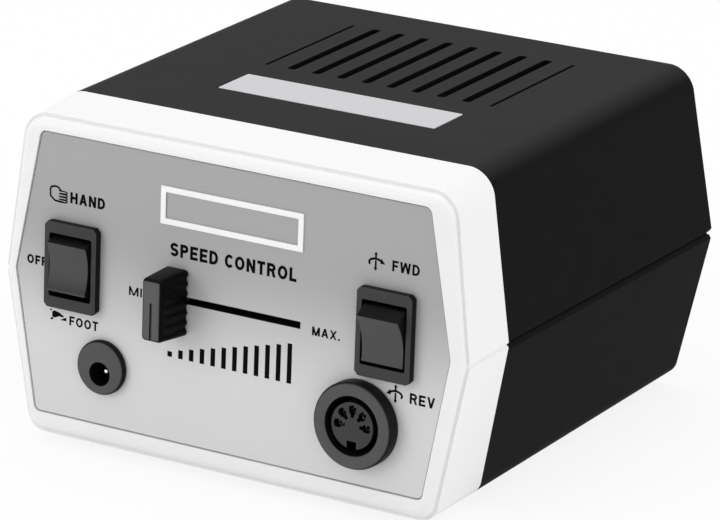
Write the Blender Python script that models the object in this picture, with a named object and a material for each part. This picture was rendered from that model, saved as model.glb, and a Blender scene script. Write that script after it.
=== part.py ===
"""Control box of an electric nail drill.

Sizes are in metres, +Z is up and the front faces -Y. The box stands on four rubber feet, and the origin
lies on the surface under the middle of the whole part. Two six-sided shells meet at a seam round the
waist, a white bezel closes the front and carries the controls, and a plate closes the back.
"""

import math

import bmesh
import bpy
from mathutils import Matrix, Vector

# Clearances and fineness
SEAT_GAP = 0.0003
CUT_OVERRUN = 0.002
CORNER_STEPS = 5
ROUND_STEPS = 32
SMALL_ROUND_STEPS = 14
SMOOTH_ANGLE = math.radians(35)

# Case: a hexagon that is widest at the waist
CASE_DEPTH = 0.0975
CASE_HEIGHT = 0.0818
WAIST_HEIGHT = 0.0398
HALF_TOP = 0.0604
HALF_WAIST_FRONT = 0.0656
HALF_WAIST_REAR = 0.0674
HALF_BASE = 0.0578
TOP_CORNER_RADIUS = 0.0070
BASE_CORNER_RADIUS = 0.0048
CASE_WALL = 0.0024
SEAM_GROOVE_DEPTH = 0.0013
SEAM_GROOVE_HALF = 0.0012
SEAM_LIP_HEIGHT = 0.0010
SEAM_LIP_WIDTH = 0.0005

# Case screws and their bosses
BOSS_INSET = 0.0088
BOSS_FRONT_Y = 0.0100
BOSS_REAR_Y = 0.0880
BOSS_RADIUS = 0.0036
BOSS_SPLIT_HEIGHT = 0.0300
SCREW_RADIUS = 0.0015
SCREW_BITE = 0.0120
SCREW_HEAD_RADIUS = 0.0028
SCREW_HEAD_HEIGHT = 0.0018
SCREW_HEAD_RECESS = 0.0060
SCREW_SLOT_WIDTH = 0.0007
SCREW_SLOT_DEPTH = 0.0007

# Feet
FOOT_RADIUS = 0.0060
FOOT_HEIGHT = 0.0020
FOOT_TAPER = 0.0006
FOOT_STUD_RADIUS = 0.0022
FOOT_STUD_RISE = 0.0035
FOOT_INSET = 0.0208
FOOT_FRONT_Y = 0.0140
FOOT_REAR_Y = 0.0840

# Vents and name plate on the top
VENT_COUNT = 8
VENT_PITCH = 0.00715
VENT_WIDTH = 0.0024
VENT_X = 0.0026
VENT_LENGTH = 0.0410
VENT_FRONT_Y = 0.0425
GROOVE_WIDTH = 0.0012
GROOVE_DEPTH = 0.0006
PLATE_HALF_WIDTH = 0.03075
PLATE_X = 0.00175
PLATE_LENGTH = 0.0135
PLATE_FRONT_Y = 0.0200
PLATE_THICKNESS = 0.0006
PLATE_RECESS = 0.0006

# Front: everything on it leans back together
RAKE = math.radians(3.3)
PANEL_SETBACK = 0.0200
PANEL_TOP_MARGIN = 0.0059
PANEL_WAIST_MARGIN = 0.0043
PANEL_BASE_MARGIN = 0.0028
PANEL_RISE = 0.0367
PANEL_WAIST_RISE = 0.0014
PANEL_DROP = 0.0338
PANEL_CORNER_RADIUS = 0.0010
PANEL_THICKNESS = 0.0010
BEZEL_LIP = 0.0006
BEZEL_ROUND = 0.0026
BEZEL_ROUND_STEPS = 3
BEZEL_WALL = 0.0024
BEZEL_TOP_FALL = 0.0014
WEB_THICKNESS = 0.0024
TONGUE_LENGTH = 0.0040
TONGUE_WALL = 0.0016

# Rocker switches
SWITCH_INSET = 0.0213
SWITCH_Z = 0.0046
SWITCH_FLANGE_WIDTH = 0.0150
SWITCH_FLANGE_HEIGHT = 0.0210
SWITCH_FLANGE_THICKNESS = 0.0017
SWITCH_FLANGE_CHAMFER = 0.0006
SWITCH_BODY_WIDTH = 0.0136
SWITCH_BODY_HEIGHT = 0.0192
SWITCH_BODY_DEPTH = 0.0135
SWITCH_MOUTH_WIDTH = 0.0122
SWITCH_MOUTH_HEIGHT = 0.0158
SWITCH_FLOOR = 0.0024
ROCKER_SIDE_GAP = 0.0004
ROCKER_AXIS_DEPTH = 0.0010
ROCKER_FACE_HALF = 0.0060
ROCKER_SHOULDER_HALF = 0.0074
ROCKER_FOOT_HALF = 0.0064
ROCKER_LIP_OUT = 0.0050
ROCKER_SHOULDER_OUT = 0.0012
ROCKER_DISH = 0.0013
ROCKER_DISH_STEPS = 8
ROCKER_BACK = 0.0024
ROCKER_PIN_RADIUS = 0.0010
ROCKER_PIN_REACH = 0.0004
PLUNGER_RADIUS = 0.0012
PLUNGER_REACH = 0.0052
DIRECTION_THROW = math.radians(14)
SEESAW_LENGTH = 0.0088
SEESAW_WIDTH = 0.0044
SEESAW_THICKNESS = 0.0007
SEESAW_DEPTH = 0.0074
SEESAW_SHARE = 0.4
TERMINAL_WIDTH = 0.0048
TERMINAL_THICKNESS = 0.0008
TERMINAL_TAIL = 0.0075
TERMINAL_SPREAD = 0.0062
TERMINAL_CLEAR = 0.0011
TERMINAL_HOLE_RADIUS = 0.0008

# Speed slider
SLOT_X = 0.0004
SLOT_Z = 0.0020
SLOT_OVERRUN = 0.0098
SLOT_HEIGHT = 0.00175
POT_X = 0.0005
KNOB_BASE_WIDTH = 0.0067
KNOB_BASE_HEIGHT = 0.0164
KNOB_TIP_WIDTH = 0.0056
KNOB_TIP_HEIGHT = 0.0154
KNOB_DROP = 0.0004
KNOB_LENGTH = 0.0106
KNOB_STANDOFF = 0.0006
KNOB_EDGE = 0.0006
KNOB_LINE_WIDTH = 0.0006
KNOB_LINE_DEPTH = 0.0005
KNOB_RIB_COUNT = 5
KNOB_RIB_PITCH = 0.0026
KNOB_RIB_WIDTH = 0.0007
KNOB_RIB_DEPTH = 0.0004
LEVER_WIDTH = 0.0040
LEVER_THICKNESS = 0.0011
LEVER_REACH = 0.0070
CARRIAGE_WIDTH = 0.0070
CARRIAGE_THICKNESS = 0.0022
POT_SIDE_CLEARANCE = 0.0058
POT_END = 0.0100
POT_HEIGHT = 0.0090
POT_DEPTH = 0.0072
POT_WALL = 0.0008
POT_EAR = 0.0060
POT_EAR_THICKNESS = 0.0012
POT_SCREW_RADIUS = 0.0010
POT_SCREW_HEAD_RADIUS = 0.0019
POT_SCREW_HEAD_HEIGHT = 0.0012
TRACK_THICKNESS = 0.0010
WIPER_WIDTH = 0.0030

# Handpiece socket, lower right
SOCKET_X = 0.0376
SOCKET_Z = -0.0184
SOCKET_FLANGE_RADIUS = 0.0107
SOCKET_FLANGE_THICKNESS = 0.0036
SOCKET_FLANGE_CHAMFER = 0.0005
SOCKET_BARREL_RADIUS = 0.0082
SOCKET_BORE_RADIUS = 0.00725
SOCKET_DEPTH = 0.0120
SOCKET_FLOOR = 0.0016
SOCKET_TAIL_RADIUS = 0.0050
INSERT_RADIUS = 0.0058
INSERT_RECESS = 0.0004
INSERT_BASE_THICKNESS = 0.0016
KEYWAY_WIDTH = 0.0026
KEYWAY_DEPTH = 0.0020
KEYWAY_LENGTH = 0.0070
CONTACT_COUNT = 5
CONTACT_CIRCLE = 0.0037
CONTACT_STEP = math.radians(45)
CONTACT_HOLE_RADIUS = 0.0011
CONTACT_RADIUS = 0.0007
CONTACT_RECESS = 0.0012
CONTACT_TAIL = 0.0040
NUT_THICKNESS = 0.0026
SOCKET_NUT_RADIUS = 0.0102

# Foot pedal jack, lower left
JACK_X = -0.0352
JACK_Z = -0.0190
JACK_FLANGE_RADIUS = 0.0068
JACK_FLANGE_THICKNESS = 0.0016
JACK_FLANGE_CHAMFER = 0.0004
JACK_BARREL_RADIUS = 0.0056
JACK_DEPTH = 0.0115
JACK_HOLE_RADIUS = 0.0031
JACK_HOLE_DROP = 0.0015
JACK_FLOOR = 0.0022
JACK_PIN_RADIUS = 0.0010
JACK_PIN_RECESS = 0.0010
JACK_PIN_TAIL = 0.0040
JACK_NUT_RADIUS = 0.0076

# Back plate and what passes through it
BACK_THICKNESS = 0.0020
BACK_RECESS = 0.0030
FUSE_X = 0.0300
FUSE_Z = 0.0580
FUSE_BODY_RADIUS = 0.0060
FUSE_BODY_LENGTH = 0.0260
FUSE_WALL = 0.0012
FUSE_COLLAR_RADIUS = 0.0078
FUSE_COLLAR_THICKNESS = 0.0020
FUSE_CAP_RADIUS = 0.0058
FUSE_CAP_THICKNESS = 0.0030
FUSE_CAP_SLOT_WIDTH = 0.0012
FUSE_CAP_SLOT_DEPTH = 0.0010
FUSE_CAP_STEM_RADIUS = 0.0040
FUSE_CAP_STEM_LENGTH = 0.0060
FUSE_RADIUS = 0.0026
FUSE_LENGTH = 0.0150
GLAND_X = -0.0360
GLAND_Z = 0.0220
GLAND_BODY_RADIUS = 0.0050
GLAND_COLLAR_RADIUS = 0.0072
GLAND_COLLAR_THICKNESS = 0.0018
GLAND_SLEEVE_RADIUS = 0.0046
GLAND_SLEEVE_LENGTH = 0.0060
GLAND_INNER_LENGTH = 0.0060
GLAND_BORE_RADIUS = 0.0031

# Transformer
CORE_X = -0.0210
CORE_Y = 0.0600
CORE_WIDTH = 0.0460
CORE_HEIGHT = 0.0400
CORE_DEPTH = 0.0180
CORE_LEG = 0.0150
CORE_YOKE = 0.0075
BOBBIN_WALL = 0.0010
BOBBIN_FLANGE = 0.0010
WINDING_THICKNESS = 0.0052
STRAP_THICKNESS = 0.0012
STRAP_DEPTH = 0.0120
STRAP_EAR = 0.0075
CORE_PAD_HEIGHT = 0.0012
STRAP_SCREW_RADIUS = 0.0015
STRAP_SCREW_LENGTH = 0.0035
STRAP_BOSS_RADIUS = 0.0036

# Circuit board and its pieces
BOARD_X = 0.0320
BOARD_Y = 0.0480
BOARD_WIDTH = 0.0400
BOARD_LENGTH = 0.0600
BOARD_THICKNESS = 0.0016
BOARD_HEIGHT = 0.0100
BOARD_POST_RADIUS = 0.0030
BOARD_POST_INSET = 0.0045
CAPACITOR_RADIUS = 0.0080
CAPACITOR_HEIGHT = 0.0260
CAPACITOR_X = 0.0230
CAPACITOR_Y = 0.0660
BRIDGE_WIDTH = 0.0150
BRIDGE_THICKNESS = 0.0046
BRIDGE_HEIGHT = 0.0110
BRIDGE_Y = 0.0480
SINK_X = 0.0430
SINK_Y = 0.0440
SINK_LENGTH = 0.0300
SINK_HEIGHT = 0.0250
SINK_BASE = 0.0030
SINK_FIN_REACH = 0.0080
SINK_FIN_COUNT = 5
SINK_FIN_THICKNESS = 0.0014
TRANSISTOR_WIDTH = 0.0100
TRANSISTOR_HEIGHT = 0.0150
TRANSISTOR_THICKNESS = 0.0044

# Sizes and places that follow from the ones above
BOSS_X = HALF_BASE - BOSS_INSET
FOOT_X = HALF_BASE - FOOT_INSET
PANEL_HALF_TOP = HALF_TOP - PANEL_TOP_MARGIN
PANEL_HALF_WAIST = HALF_WAIST_FRONT - PANEL_WAIST_MARGIN
PANEL_HALF_BASE = HALF_BASE - PANEL_BASE_MARGIN
SWITCH_X = HALF_WAIST_FRONT - SWITCH_INSET
POT_LENGTH = 2 * (SWITCH_X - SWITCH_FLANGE_WIDTH / 2 - POT_SIDE_CLEARANCE - POT_EAR)
SLIDER_TRAVEL = POT_LENGTH - 2 * POT_END
SLOT_LENGTH = SLIDER_TRAVEL + SLOT_OVERRUN
KNOB_REST_X = POT_X - SLIDER_TRAVEL / 2
RIDE_HEIGHT = FOOT_HEIGHT + SEAT_GAP
BACK_FACE = CASE_DEPTH - BACK_RECESS
REARMOST = BACK_FACE + SEAT_GAP + GLAND_COLLAR_THICKNESS + GLAND_SLEEVE_LENGTH
KNOB_OUT = KNOB_STANDOFF + KNOB_LENGTH
KNOB_Z = SLOT_Z - KNOB_DROP
KNOB_LOW = KNOB_TIP_HEIGHT / 2 - KNOB_EDGE - KNOB_Z
FRONTMOST = -PANEL_SETBACK - KNOB_OUT * math.cos(RAKE) - KNOB_LOW * math.sin(RAKE)
MIDDLE_Y = (FRONTMOST + REARMOST) / 2
WEB_FRONT = PANEL_THICKNESS + SEAT_GAP
WEB_BACK = WEB_FRONT + WEB_THICKNESS

COLOURS = {
    "black_shell": ((0.028, 0.028, 0.028), 0.55, 0.0),
    "white_bezel": ((0.86, 0.87, 0.88), 0.35, 0.0),
    "grey_panel": ((0.50, 0.50, 0.50), 0.45, 0.0),
    "silver_plate": ((0.66, 0.66, 0.68), 0.35, 0.6),
    "switch_black": ((0.045, 0.045, 0.047), 0.40, 0.0),
    "knob_black": ((0.020, 0.020, 0.021), 0.30, 0.0),
    "foot_rubber": ((0.020, 0.020, 0.020), 0.80, 0.0),
    "screw_steel": ((0.45, 0.45, 0.46), 0.35, 1.0),
    "contact_brass": ((0.72, 0.52, 0.22), 0.30, 1.0),
    "core_steel": ((0.25, 0.25, 0.27), 0.50, 0.9),
    "copper_winding": ((0.55, 0.22, 0.08), 0.40, 0.6),
    "bobbin_plastic": ((0.75, 0.72, 0.62), 0.60, 0.0),
    "board_green": ((0.03, 0.16, 0.07), 0.50, 0.0),
    "part_black": ((0.030, 0.030, 0.033), 0.45, 0.0),
    "sink_aluminium": ((0.60, 0.61, 0.63), 0.40, 0.9),
    "fuse_glass": ((0.80, 0.82, 0.84), 0.10, 0.0),
}


# Outlines, each a list of (x, z) running anticlockwise as seen from the front

def inset_polygon(corners, inset):
    """Moves every edge of a convex anticlockwise polygon inwards."""
    count = len(corners)
    lines = []
    for i in range(count):
        a = Vector(corners[i])
        b = Vector(corners[(i + 1) % count])
        along = (b - a).normalized()
        lines.append((a + Vector((-along.y, along.x)) * inset, along))
    result = []
    for i in range(count):
        (p, u), (q, v) = lines[i - 1], lines[i]
        cross = u.x * v.y - u.y * v.x
        step = ((q.x - p.x) * v.y - (q.y - p.y) * v.x) / cross
        result.append(tuple(p + u * step))
    return result


def round_corner(before, corner, after, radius, steps=CORNER_STEPS):
    """Returns the points of an arc that rounds one corner."""
    corner = Vector(corner)
    if radius <= 0:
        return [tuple(corner)]
    to_before = (Vector(before) - corner).normalized()
    to_after = (Vector(after) - corner).normalized()
    half = to_before.angle(to_after) / 2
    centre = corner + (to_before + to_after).normalized() * (radius / math.sin(half))
    start = corner + to_before * (radius / math.tan(half)) - centre
    turn = math.pi - 2 * half
    points = []
    for k in range(steps + 1):
        angle = turn * k / steps
        c, s = math.cos(angle), math.sin(angle)
        points.append((centre.x + start.x * c - start.y * s, centre.y + start.x * s + start.y * c))
    return points


def rounded(corners, radii):
    """Rounds each corner of an anticlockwise polygon by its own radius."""
    points = []
    for i, radius in enumerate(radii):
        points += round_corner(corners[i - 1], corners[i], corners[(i + 1) % len(corners)], radius)
    return points


def case_corners(half_waist):
    """Corners of the case's hexagon: base left, base right, waist, top right, top left, waist."""
    return [
        (-HALF_BASE, 0),
        (HALF_BASE, 0),
        (half_waist, WAIST_HEIGHT),
        (HALF_TOP, CASE_HEIGHT),
        (-HALF_TOP, CASE_HEIGHT),
        (-half_waist, WAIST_HEIGHT),
    ]


def case_outline(half_waist, inset):
    """The case's rounded outline, moved inwards."""
    base = max(BASE_CORNER_RADIUS - inset, SEAT_GAP)
    top = max(TOP_CORNER_RADIUS - inset, SEAT_GAP)
    return rounded(inset_polygon(case_corners(half_waist), inset), [base, base, 0, top, top, 0])


def half_width_at(corners, z):
    """Half width of a hexagon at height z, from its right side."""
    low, mid, high = corners[1], corners[2], corners[3]
    (x0, z0), (x1, z1) = (low, mid) if z < mid[1] else (mid, high)
    return x0 + (x1 - x0) * (z - z0) / (z1 - z0)


def mirror_path(path):
    """The same path on the left, run the other way."""
    return [(-x, z) for x, z in reversed(path)]


def shell_section(half_waist, upper):
    """Cross-section of one shell: a trough whose edges are chamfered for the groove and stepped inside."""
    side = 1 if upper else -1
    outer = case_corners(half_waist)
    inner = inset_polygon(outer, CASE_WALL)
    edge = WAIST_HEIGHT + side * SEAT_GAP / 2
    flank = WAIST_HEIGHT + side * SEAM_GROOVE_HALF
    corner = 3 if upper else 1
    radius = TOP_CORNER_RADIUS if upper else BASE_CORNER_RADIUS
    before, after = (2, 4) if upper else (0, 2)
    outer_arc = round_corner(outer[before], outer[corner], outer[after], radius)
    inner_arc = round_corner(inner[before], inner[corner], inner[after], max(radius - CASE_WALL, SEAT_GAP))
    if not upper:
        outer_arc.reverse()
        inner_arc.reverse()
    step_top = edge + SEAM_LIP_HEIGHT
    step_x = half_width_at(inner, step_top) + SEAM_LIP_WIDTH + (SEAT_GAP if upper else 0)
    right = [
        (half_width_at(inner, step_top), step_top),
        (step_x, step_top),
        (step_x, edge),
        (half_width_at(outer, edge) - SEAM_GROOVE_DEPTH, edge),
        (half_width_at(outer, flank), flank),
    ] + outer_arc
    inner_left = [(-x, z) for x, z in inner_arc]
    return right + mirror_path(right) + inner_left + inner_arc[::-1]


def circle(centre, radius, steps=ROUND_STEPS):
    """Points of a circle."""
    return [
        (centre[0] + radius * math.cos(math.tau * k / steps), centre[1] + radius * math.sin(math.tau * k / steps))
        for k in range(steps)
    ]


def rectangle(centre, width, height, chamfer=0):
    """Corners of a rectangle, or of one with its corners cut."""
    x, z, w, h, c = *centre, width / 2, height / 2, chamfer
    if c <= 0:
        return [(x - w, z - h), (x + w, z - h), (x + w, z + h), (x - w, z + h)]
    return [
        (x - w + c, z - h), (x + w - c, z - h), (x + w, z - h + c), (x + w, z + h - c),
        (x + w - c, z + h), (x - w + c, z + h), (x - w, z + h - c), (x - w, z - h + c),
    ]


# Solids, each added to a bmesh

def add_prism(bm, front, y_front, y_rear, rear=None):
    """Adds the solid between an outline at y_front and one at y_rear; either may be a function of x and z."""
    rear = rear or front
    depth = [y if callable(y) else (lambda x, z, fixed=y: fixed) for y in (y_front, y_rear)]
    rings = [
        [bm.verts.new((x, depth[k](x, z), z)) for x, z in outline]
        for k, outline in enumerate((front, rear))
    ]
    count = len(front)
    faces = [bm.faces.new(rings[0]), bm.faces.new(rings[1][::-1])]
    for i in range(count):
        j = (i + 1) % count
        faces.append(bm.faces.new((rings[0][j], rings[0][i], rings[1][i], rings[1][j])))
    if rear is not front:
        bmesh.ops.triangulate(bm, faces=faces[2:])
    return rings


def add_loft(bm, stack):
    """Adds the solid through a stack of outlines, each with the function that gives its points' depths."""
    rings = [[bm.verts.new((x, depth(x, z), z)) for x, z in outline] for outline, depth in stack]
    bm.faces.new(rings[0])
    bm.faces.new(rings[-1][::-1])
    count = len(rings[0])
    for near, far in zip(rings, rings[1:]):
        for i in range(count):
            j = (i + 1) % count
            bm.faces.new((near[j], near[i], far[i], far[j]))


def add_block(bm, low, high):
    """Adds a box between two opposite corners."""
    outline = [(low[0], low[2]), (high[0], low[2]), (high[0], high[2]), (low[0], high[2])]
    return add_prism(bm, outline, low[1], high[1])


def add_round(bm, start, end, radius, end_radius=None, steps=ROUND_STEPS):
    """Adds a round bar or a cone from one point to another."""
    start, end = Vector(start), Vector(end)
    axis = end - start
    turn = Vector((0, 0, 1)).rotation_difference(axis).to_matrix().to_4x4()
    bmesh.ops.create_cone(
        bm, cap_ends=True, segments=steps, radius1=radius,
        radius2=radius if end_radius is None else end_radius, depth=axis.length,
        matrix=Matrix.Translation((start + end) / 2) @ turn,
    )


def bevel_edges(bm, chosen, width, steps=1):
    """Bevels the edges that chosen() accepts."""
    edges = [e for e in bm.edges if chosen(e)]
    bmesh.ops.bevel(bm, geom=edges, offset=width, segments=steps, affect="EDGES", profile=0.5, material=-1)


def on_plane(edge, y):
    """Whether both ends of an edge lie at depth y."""
    return all(abs(v.co.y - y) < SEAT_GAP / 10 for v in edge.verts)


# Objects

def clear_scene():
    """Removes whatever the scene holds."""
    for obj in list(bpy.data.objects):
        bpy.data.objects.remove(obj)


def material(name):
    """Returns the material of one finish, made at its first use."""
    found = bpy.data.materials.get(name)
    if found:
        return found
    colour, roughness, metallic = COLOURS[name]
    made = bpy.data.materials.new(name)
    made.use_nodes = True
    shader = made.node_tree.nodes["Principled BSDF"]
    shader.inputs["Base Color"].default_value = (*colour, 1)
    shader.inputs["Roughness"].default_value = roughness
    shader.inputs["Metallic"].default_value = metallic
    return made


def link(name, bm, parent, finish=None):
    """Turns a bmesh into an object under a parent; without a finish it is a hidden helper."""
    bmesh.ops.recalc_face_normals(bm, faces=bm.faces)
    mesh = bpy.data.meshes.new(name)
    bm.to_mesh(mesh)
    bm.free()
    mesh.shade_smooth()
    mesh.set_sharp_from_angle(angle=SMOOTH_ANGLE)
    obj = bpy.data.objects.new(name, mesh)
    bpy.context.scene.collection.objects.link(obj)
    obj.parent = parent
    if finish:
        mesh.materials.append(material(finish))
    else:
        obj.hide_render = True
        obj.display_type = "WIRE"
    return obj


def combine(obj, other, operation):
    """Joins a helper to an object, or cuts it out."""
    modifier = obj.modifiers.new(other.name, "BOOLEAN")
    modifier.object = other
    modifier.operation = operation


def empty(name, parent, location=(0, 0, 0), lean=0.0):
    """Adds an empty that carries other objects."""
    made = bpy.data.objects.new(name, None)
    bpy.context.scene.collection.objects.link(made)
    made.parent = parent
    made.location = location
    made.rotation_euler = (lean, 0, 0)
    return made


# Casing

def boss_places():
    """Places of the four case screws."""
    return [(x, y) for y in (BOSS_FRONT_Y, BOSS_REAR_Y) for x in (-BOSS_X, BOSS_X)]


def foot_places():
    """Places of the four feet."""
    return [(x, y) for y in (FOOT_FRONT_Y, FOOT_REAR_Y) for x in (-FOOT_X, FOOT_X)]


def strap_screw_places():
    """Places of the two screws that hold the transformer's strap."""
    reach = CORE_WIDTH / 2 + SEAT_GAP + STRAP_THICKNESS + STRAP_EAR / 2
    return [(CORE_X - reach, CORE_Y), (CORE_X + reach, CORE_Y)]


def board_post_places():
    """Places of the posts under the board's corners."""
    x, y = BOARD_WIDTH / 2 - BOARD_POST_INSET, BOARD_LENGTH / 2 - BOARD_POST_INSET
    return [(BOARD_X + i * x, BOARD_Y + j * y) for j in (-1, 1) for i in (-1, 1)]


def make_shell(name, upper, case):
    """One shell, without its bosses and openings."""
    bm = bmesh.new()
    front = shell_section(HALF_WAIST_FRONT, upper)
    rear = shell_section(HALF_WAIST_REAR, upper)
    add_prism(bm, front, 0, CASE_DEPTH, rear)
    return link(name, bm, case, "black_shell")


def make_upper_shell(case):
    """The upper shell with its vents, its blind grooves, its plate's seat and its screw bosses."""
    shell = make_shell("upper_shell", True, case)
    bosses = bmesh.new()
    for x, y in boss_places():
        add_round(bosses, (x, y, BOSS_SPLIT_HEIGHT + SEAT_GAP), (x, y, CASE_HEIGHT - CASE_WALL / 2), BOSS_RADIUS)
    combine(shell, link("upper_bosses", bosses, case), "UNION")
    cuts = bmesh.new()
    top = CASE_HEIGHT + CUT_OVERRUN
    for i in range(VENT_COUNT):
        x = VENT_X + (i - (VENT_COUNT - 1) / 2) * VENT_PITCH
        low = (x - VENT_WIDTH / 2, VENT_FRONT_Y, CASE_HEIGHT - CASE_WALL - CUT_OVERRUN)
        add_block(cuts, low, (x + VENT_WIDTH / 2, VENT_FRONT_Y + VENT_LENGTH, top))
    for side in (-1, 1):
        x = VENT_X + side * (VENT_COUNT + 1) / 2 * VENT_PITCH
        low = (x - GROOVE_WIDTH / 2, VENT_FRONT_Y, CASE_HEIGHT - GROOVE_DEPTH)
        add_block(cuts, low, (x + GROOVE_WIDTH / 2, VENT_FRONT_Y + VENT_LENGTH, top))
    half = PLATE_HALF_WIDTH + SEAT_GAP
    low = (PLATE_X - half, PLATE_FRONT_Y - SEAT_GAP, CASE_HEIGHT - PLATE_RECESS)
    add_block(cuts, low, (PLATE_X + half, PLATE_FRONT_Y + PLATE_LENGTH + SEAT_GAP, top))
    for x, y in boss_places():
        start = BOSS_SPLIT_HEIGHT - CUT_OVERRUN
        end = BOSS_SPLIT_HEIGHT + SCREW_BITE + SEAT_GAP
        add_round(cuts, (x, y, start), (x, y, end), SCREW_RADIUS + SEAT_GAP, steps=SMALL_ROUND_STEPS)
    combine(shell, link("upper_cuts", cuts, case), "DIFFERENCE")
    return shell


def make_lower_shell(case):
    """The lower shell with its screw bosses, board posts, transformer bosses and foot holes."""
    shell = make_shell("lower_shell", False, case)
    inside = CASE_WALL / 2
    posts = bmesh.new()
    for x, y in boss_places():
        add_round(posts, (x, y, inside), (x, y, BOSS_SPLIT_HEIGHT), BOSS_RADIUS)
    for x, y in board_post_places():
        add_round(posts, (x, y, inside), (x, y, BOARD_HEIGHT - SEAT_GAP), BOARD_POST_RADIUS, steps=SMALL_ROUND_STEPS)
    pad = CASE_WALL + CORE_PAD_HEIGHT
    for x, y in strap_screw_places():
        add_round(posts, (x, y, inside), (x, y, pad), STRAP_BOSS_RADIUS, steps=SMALL_ROUND_STEPS)
    half = (CORE_WIDTH / 2, CORE_DEPTH / 2)
    add_block(posts, (CORE_X - half[0], CORE_Y - half[1], inside), (CORE_X + half[0], CORE_Y + half[1], pad))
    combine(shell, link("lower_posts", posts, case), "UNION")
    cuts = bmesh.new()
    for x, y in boss_places():
        shaft, head = SCREW_RADIUS + SEAT_GAP, SCREW_HEAD_RADIUS + SEAT_GAP
        add_round(cuts, (x, y, -CUT_OVERRUN), (x, y, SCREW_HEAD_RECESS), head, steps=SMALL_ROUND_STEPS)
    combine(shell, link("lower_head_cuts", cuts, case), "DIFFERENCE")
    holes = bmesh.new()
    for x, y in boss_places():
        top = BOSS_SPLIT_HEIGHT + CUT_OVERRUN
        add_round(holes, (x, y, -CUT_OVERRUN), (x, y, top), shaft, steps=SMALL_ROUND_STEPS)
    for x, y in foot_places():
        add_round(holes, (x, y, -CUT_OVERRUN), (x, y, CASE_WALL + CUT_OVERRUN),
                  FOOT_STUD_RADIUS + SEAT_GAP, steps=SMALL_ROUND_STEPS)
    for x, y in strap_screw_places():
        floor = pad - STRAP_SCREW_LENGTH + STRAP_THICKNESS
        add_round(holes, (x, y, floor), (x, y, pad + CUT_OVERRUN),
                  STRAP_SCREW_RADIUS + SEAT_GAP, steps=SMALL_ROUND_STEPS)
    combine(shell, link("lower_holes", holes, case), "DIFFERENCE")
    return shell


def make_screw(name, head_end, tip, radii, head_height, case, finish="screw_steel"):
    """A slotted screw whose head's outer face is at head_end."""
    head_end, tip = Vector(head_end), Vector(tip)
    along = (tip - head_end).normalized()
    seat = head_end + along * head_height
    bm = bmesh.new()
    add_round(bm, head_end, seat, radii[1], steps=SMALL_ROUND_STEPS)
    screw = link(name, bm, case, finish)
    shaft = bmesh.new()
    add_round(shaft, head_end + along * head_height / 2, tip, radii[0], steps=SMALL_ROUND_STEPS)
    combine(screw, link(name + "_shaft", shaft, case), "UNION")
    slot = bmesh.new()
    reach = Vector((radii[1] * 2, 0, 0))
    across = along.cross(Vector((1, 0, 0))) * SCREW_SLOT_WIDTH / 2
    low = head_end - reach - across - along * CUT_OVERRUN
    high = head_end + reach + across + along * SCREW_SLOT_DEPTH
    corners = [tuple(min(a, b) for a, b in zip(low, high)), tuple(max(a, b) for a, b in zip(low, high))]
    add_block(slot, *corners)
    combine(screw, link(name + "_slot", slot, case), "DIFFERENCE")
    return screw


def make_case_screws(case):
    """Four screws that go up through the lower shell's bosses into the upper shell's."""
    for i, (x, y) in enumerate(boss_places(), start=1):
        head = SCREW_HEAD_RECESS - SEAT_GAP - SCREW_HEAD_HEIGHT
        tip = BOSS_SPLIT_HEIGHT + SCREW_BITE - SEAT_GAP
        radii = (SCREW_RADIUS, SCREW_HEAD_RADIUS)
        make_screw(f"case_screw_{i}", (x, y, head), (x, y, tip), radii, SCREW_HEAD_HEIGHT, case)


def make_feet(case):
    """Four rubber feet whose studs push into holes in the base."""
    for i, (x, y) in enumerate(foot_places(), start=1):
        bm = bmesh.new()
        add_round(bm, (x, y, -RIDE_HEIGHT), (x, y, -SEAT_GAP), FOOT_RADIUS - FOOT_TAPER, FOOT_RADIUS)
        foot = link(f"rubber_foot_{i}", bm, case, "foot_rubber")
        stud = bmesh.new()
        add_round(stud, (x, y, -FOOT_HEIGHT / 2), (x, y, FOOT_STUD_RISE), FOOT_STUD_RADIUS, steps=SMALL_ROUND_STEPS)
        combine(foot, link(f"foot_stud_{i}", stud, case), "UNION")


def make_name_plate(case):
    """The bare silver plate on the top, in its shallow seat."""
    bm = bmesh.new()
    bottom = CASE_HEIGHT - PLATE_RECESS + SEAT_GAP
    low = (PLATE_X - PLATE_HALF_WIDTH, PLATE_FRONT_Y, bottom)
    add_block(bm, low, (PLATE_X + PLATE_HALF_WIDTH, PLATE_FRONT_Y + PLATE_LENGTH, bottom + PLATE_THICKNESS))
    return link("name_plate", bm, case, "silver_plate")


# Front

def fall(outline):
    """The bezel's outline at its front, where its top is lower than at the shells."""
    scale = 1 - BEZEL_TOP_FALL / (CASE_HEIGHT - WAIST_HEIGHT)
    return [(x, WAIST_HEIGHT + (z - WAIST_HEIGHT) * (scale if z > WAIST_HEIGHT else 1)) for x, z in outline]


def rake_plane(depth):
    """Depth in the case's frame of the plane that lies depth behind the panel's face."""
    def plane(x, z):
        return -PANEL_SETBACK + depth / math.cos(RAKE) + (z - WAIST_HEIGHT) * math.tan(RAKE)
    return plane


def panel_outline(inset):
    """The printed panel's outline in the front's own frame."""
    corners = [
        (-PANEL_HALF_BASE, -PANEL_DROP), (PANEL_HALF_BASE, -PANEL_DROP), (PANEL_HALF_WAIST, PANEL_WAIST_RISE),
        (PANEL_HALF_TOP, PANEL_RISE), (-PANEL_HALF_TOP, PANEL_RISE), (-PANEL_HALF_WAIST, PANEL_WAIST_RISE),
    ]
    corner = PANEL_CORNER_RADIUS
    return rounded(inset_polygon(corners, inset), [corner, corner, 0, corner, corner, 0])


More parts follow.
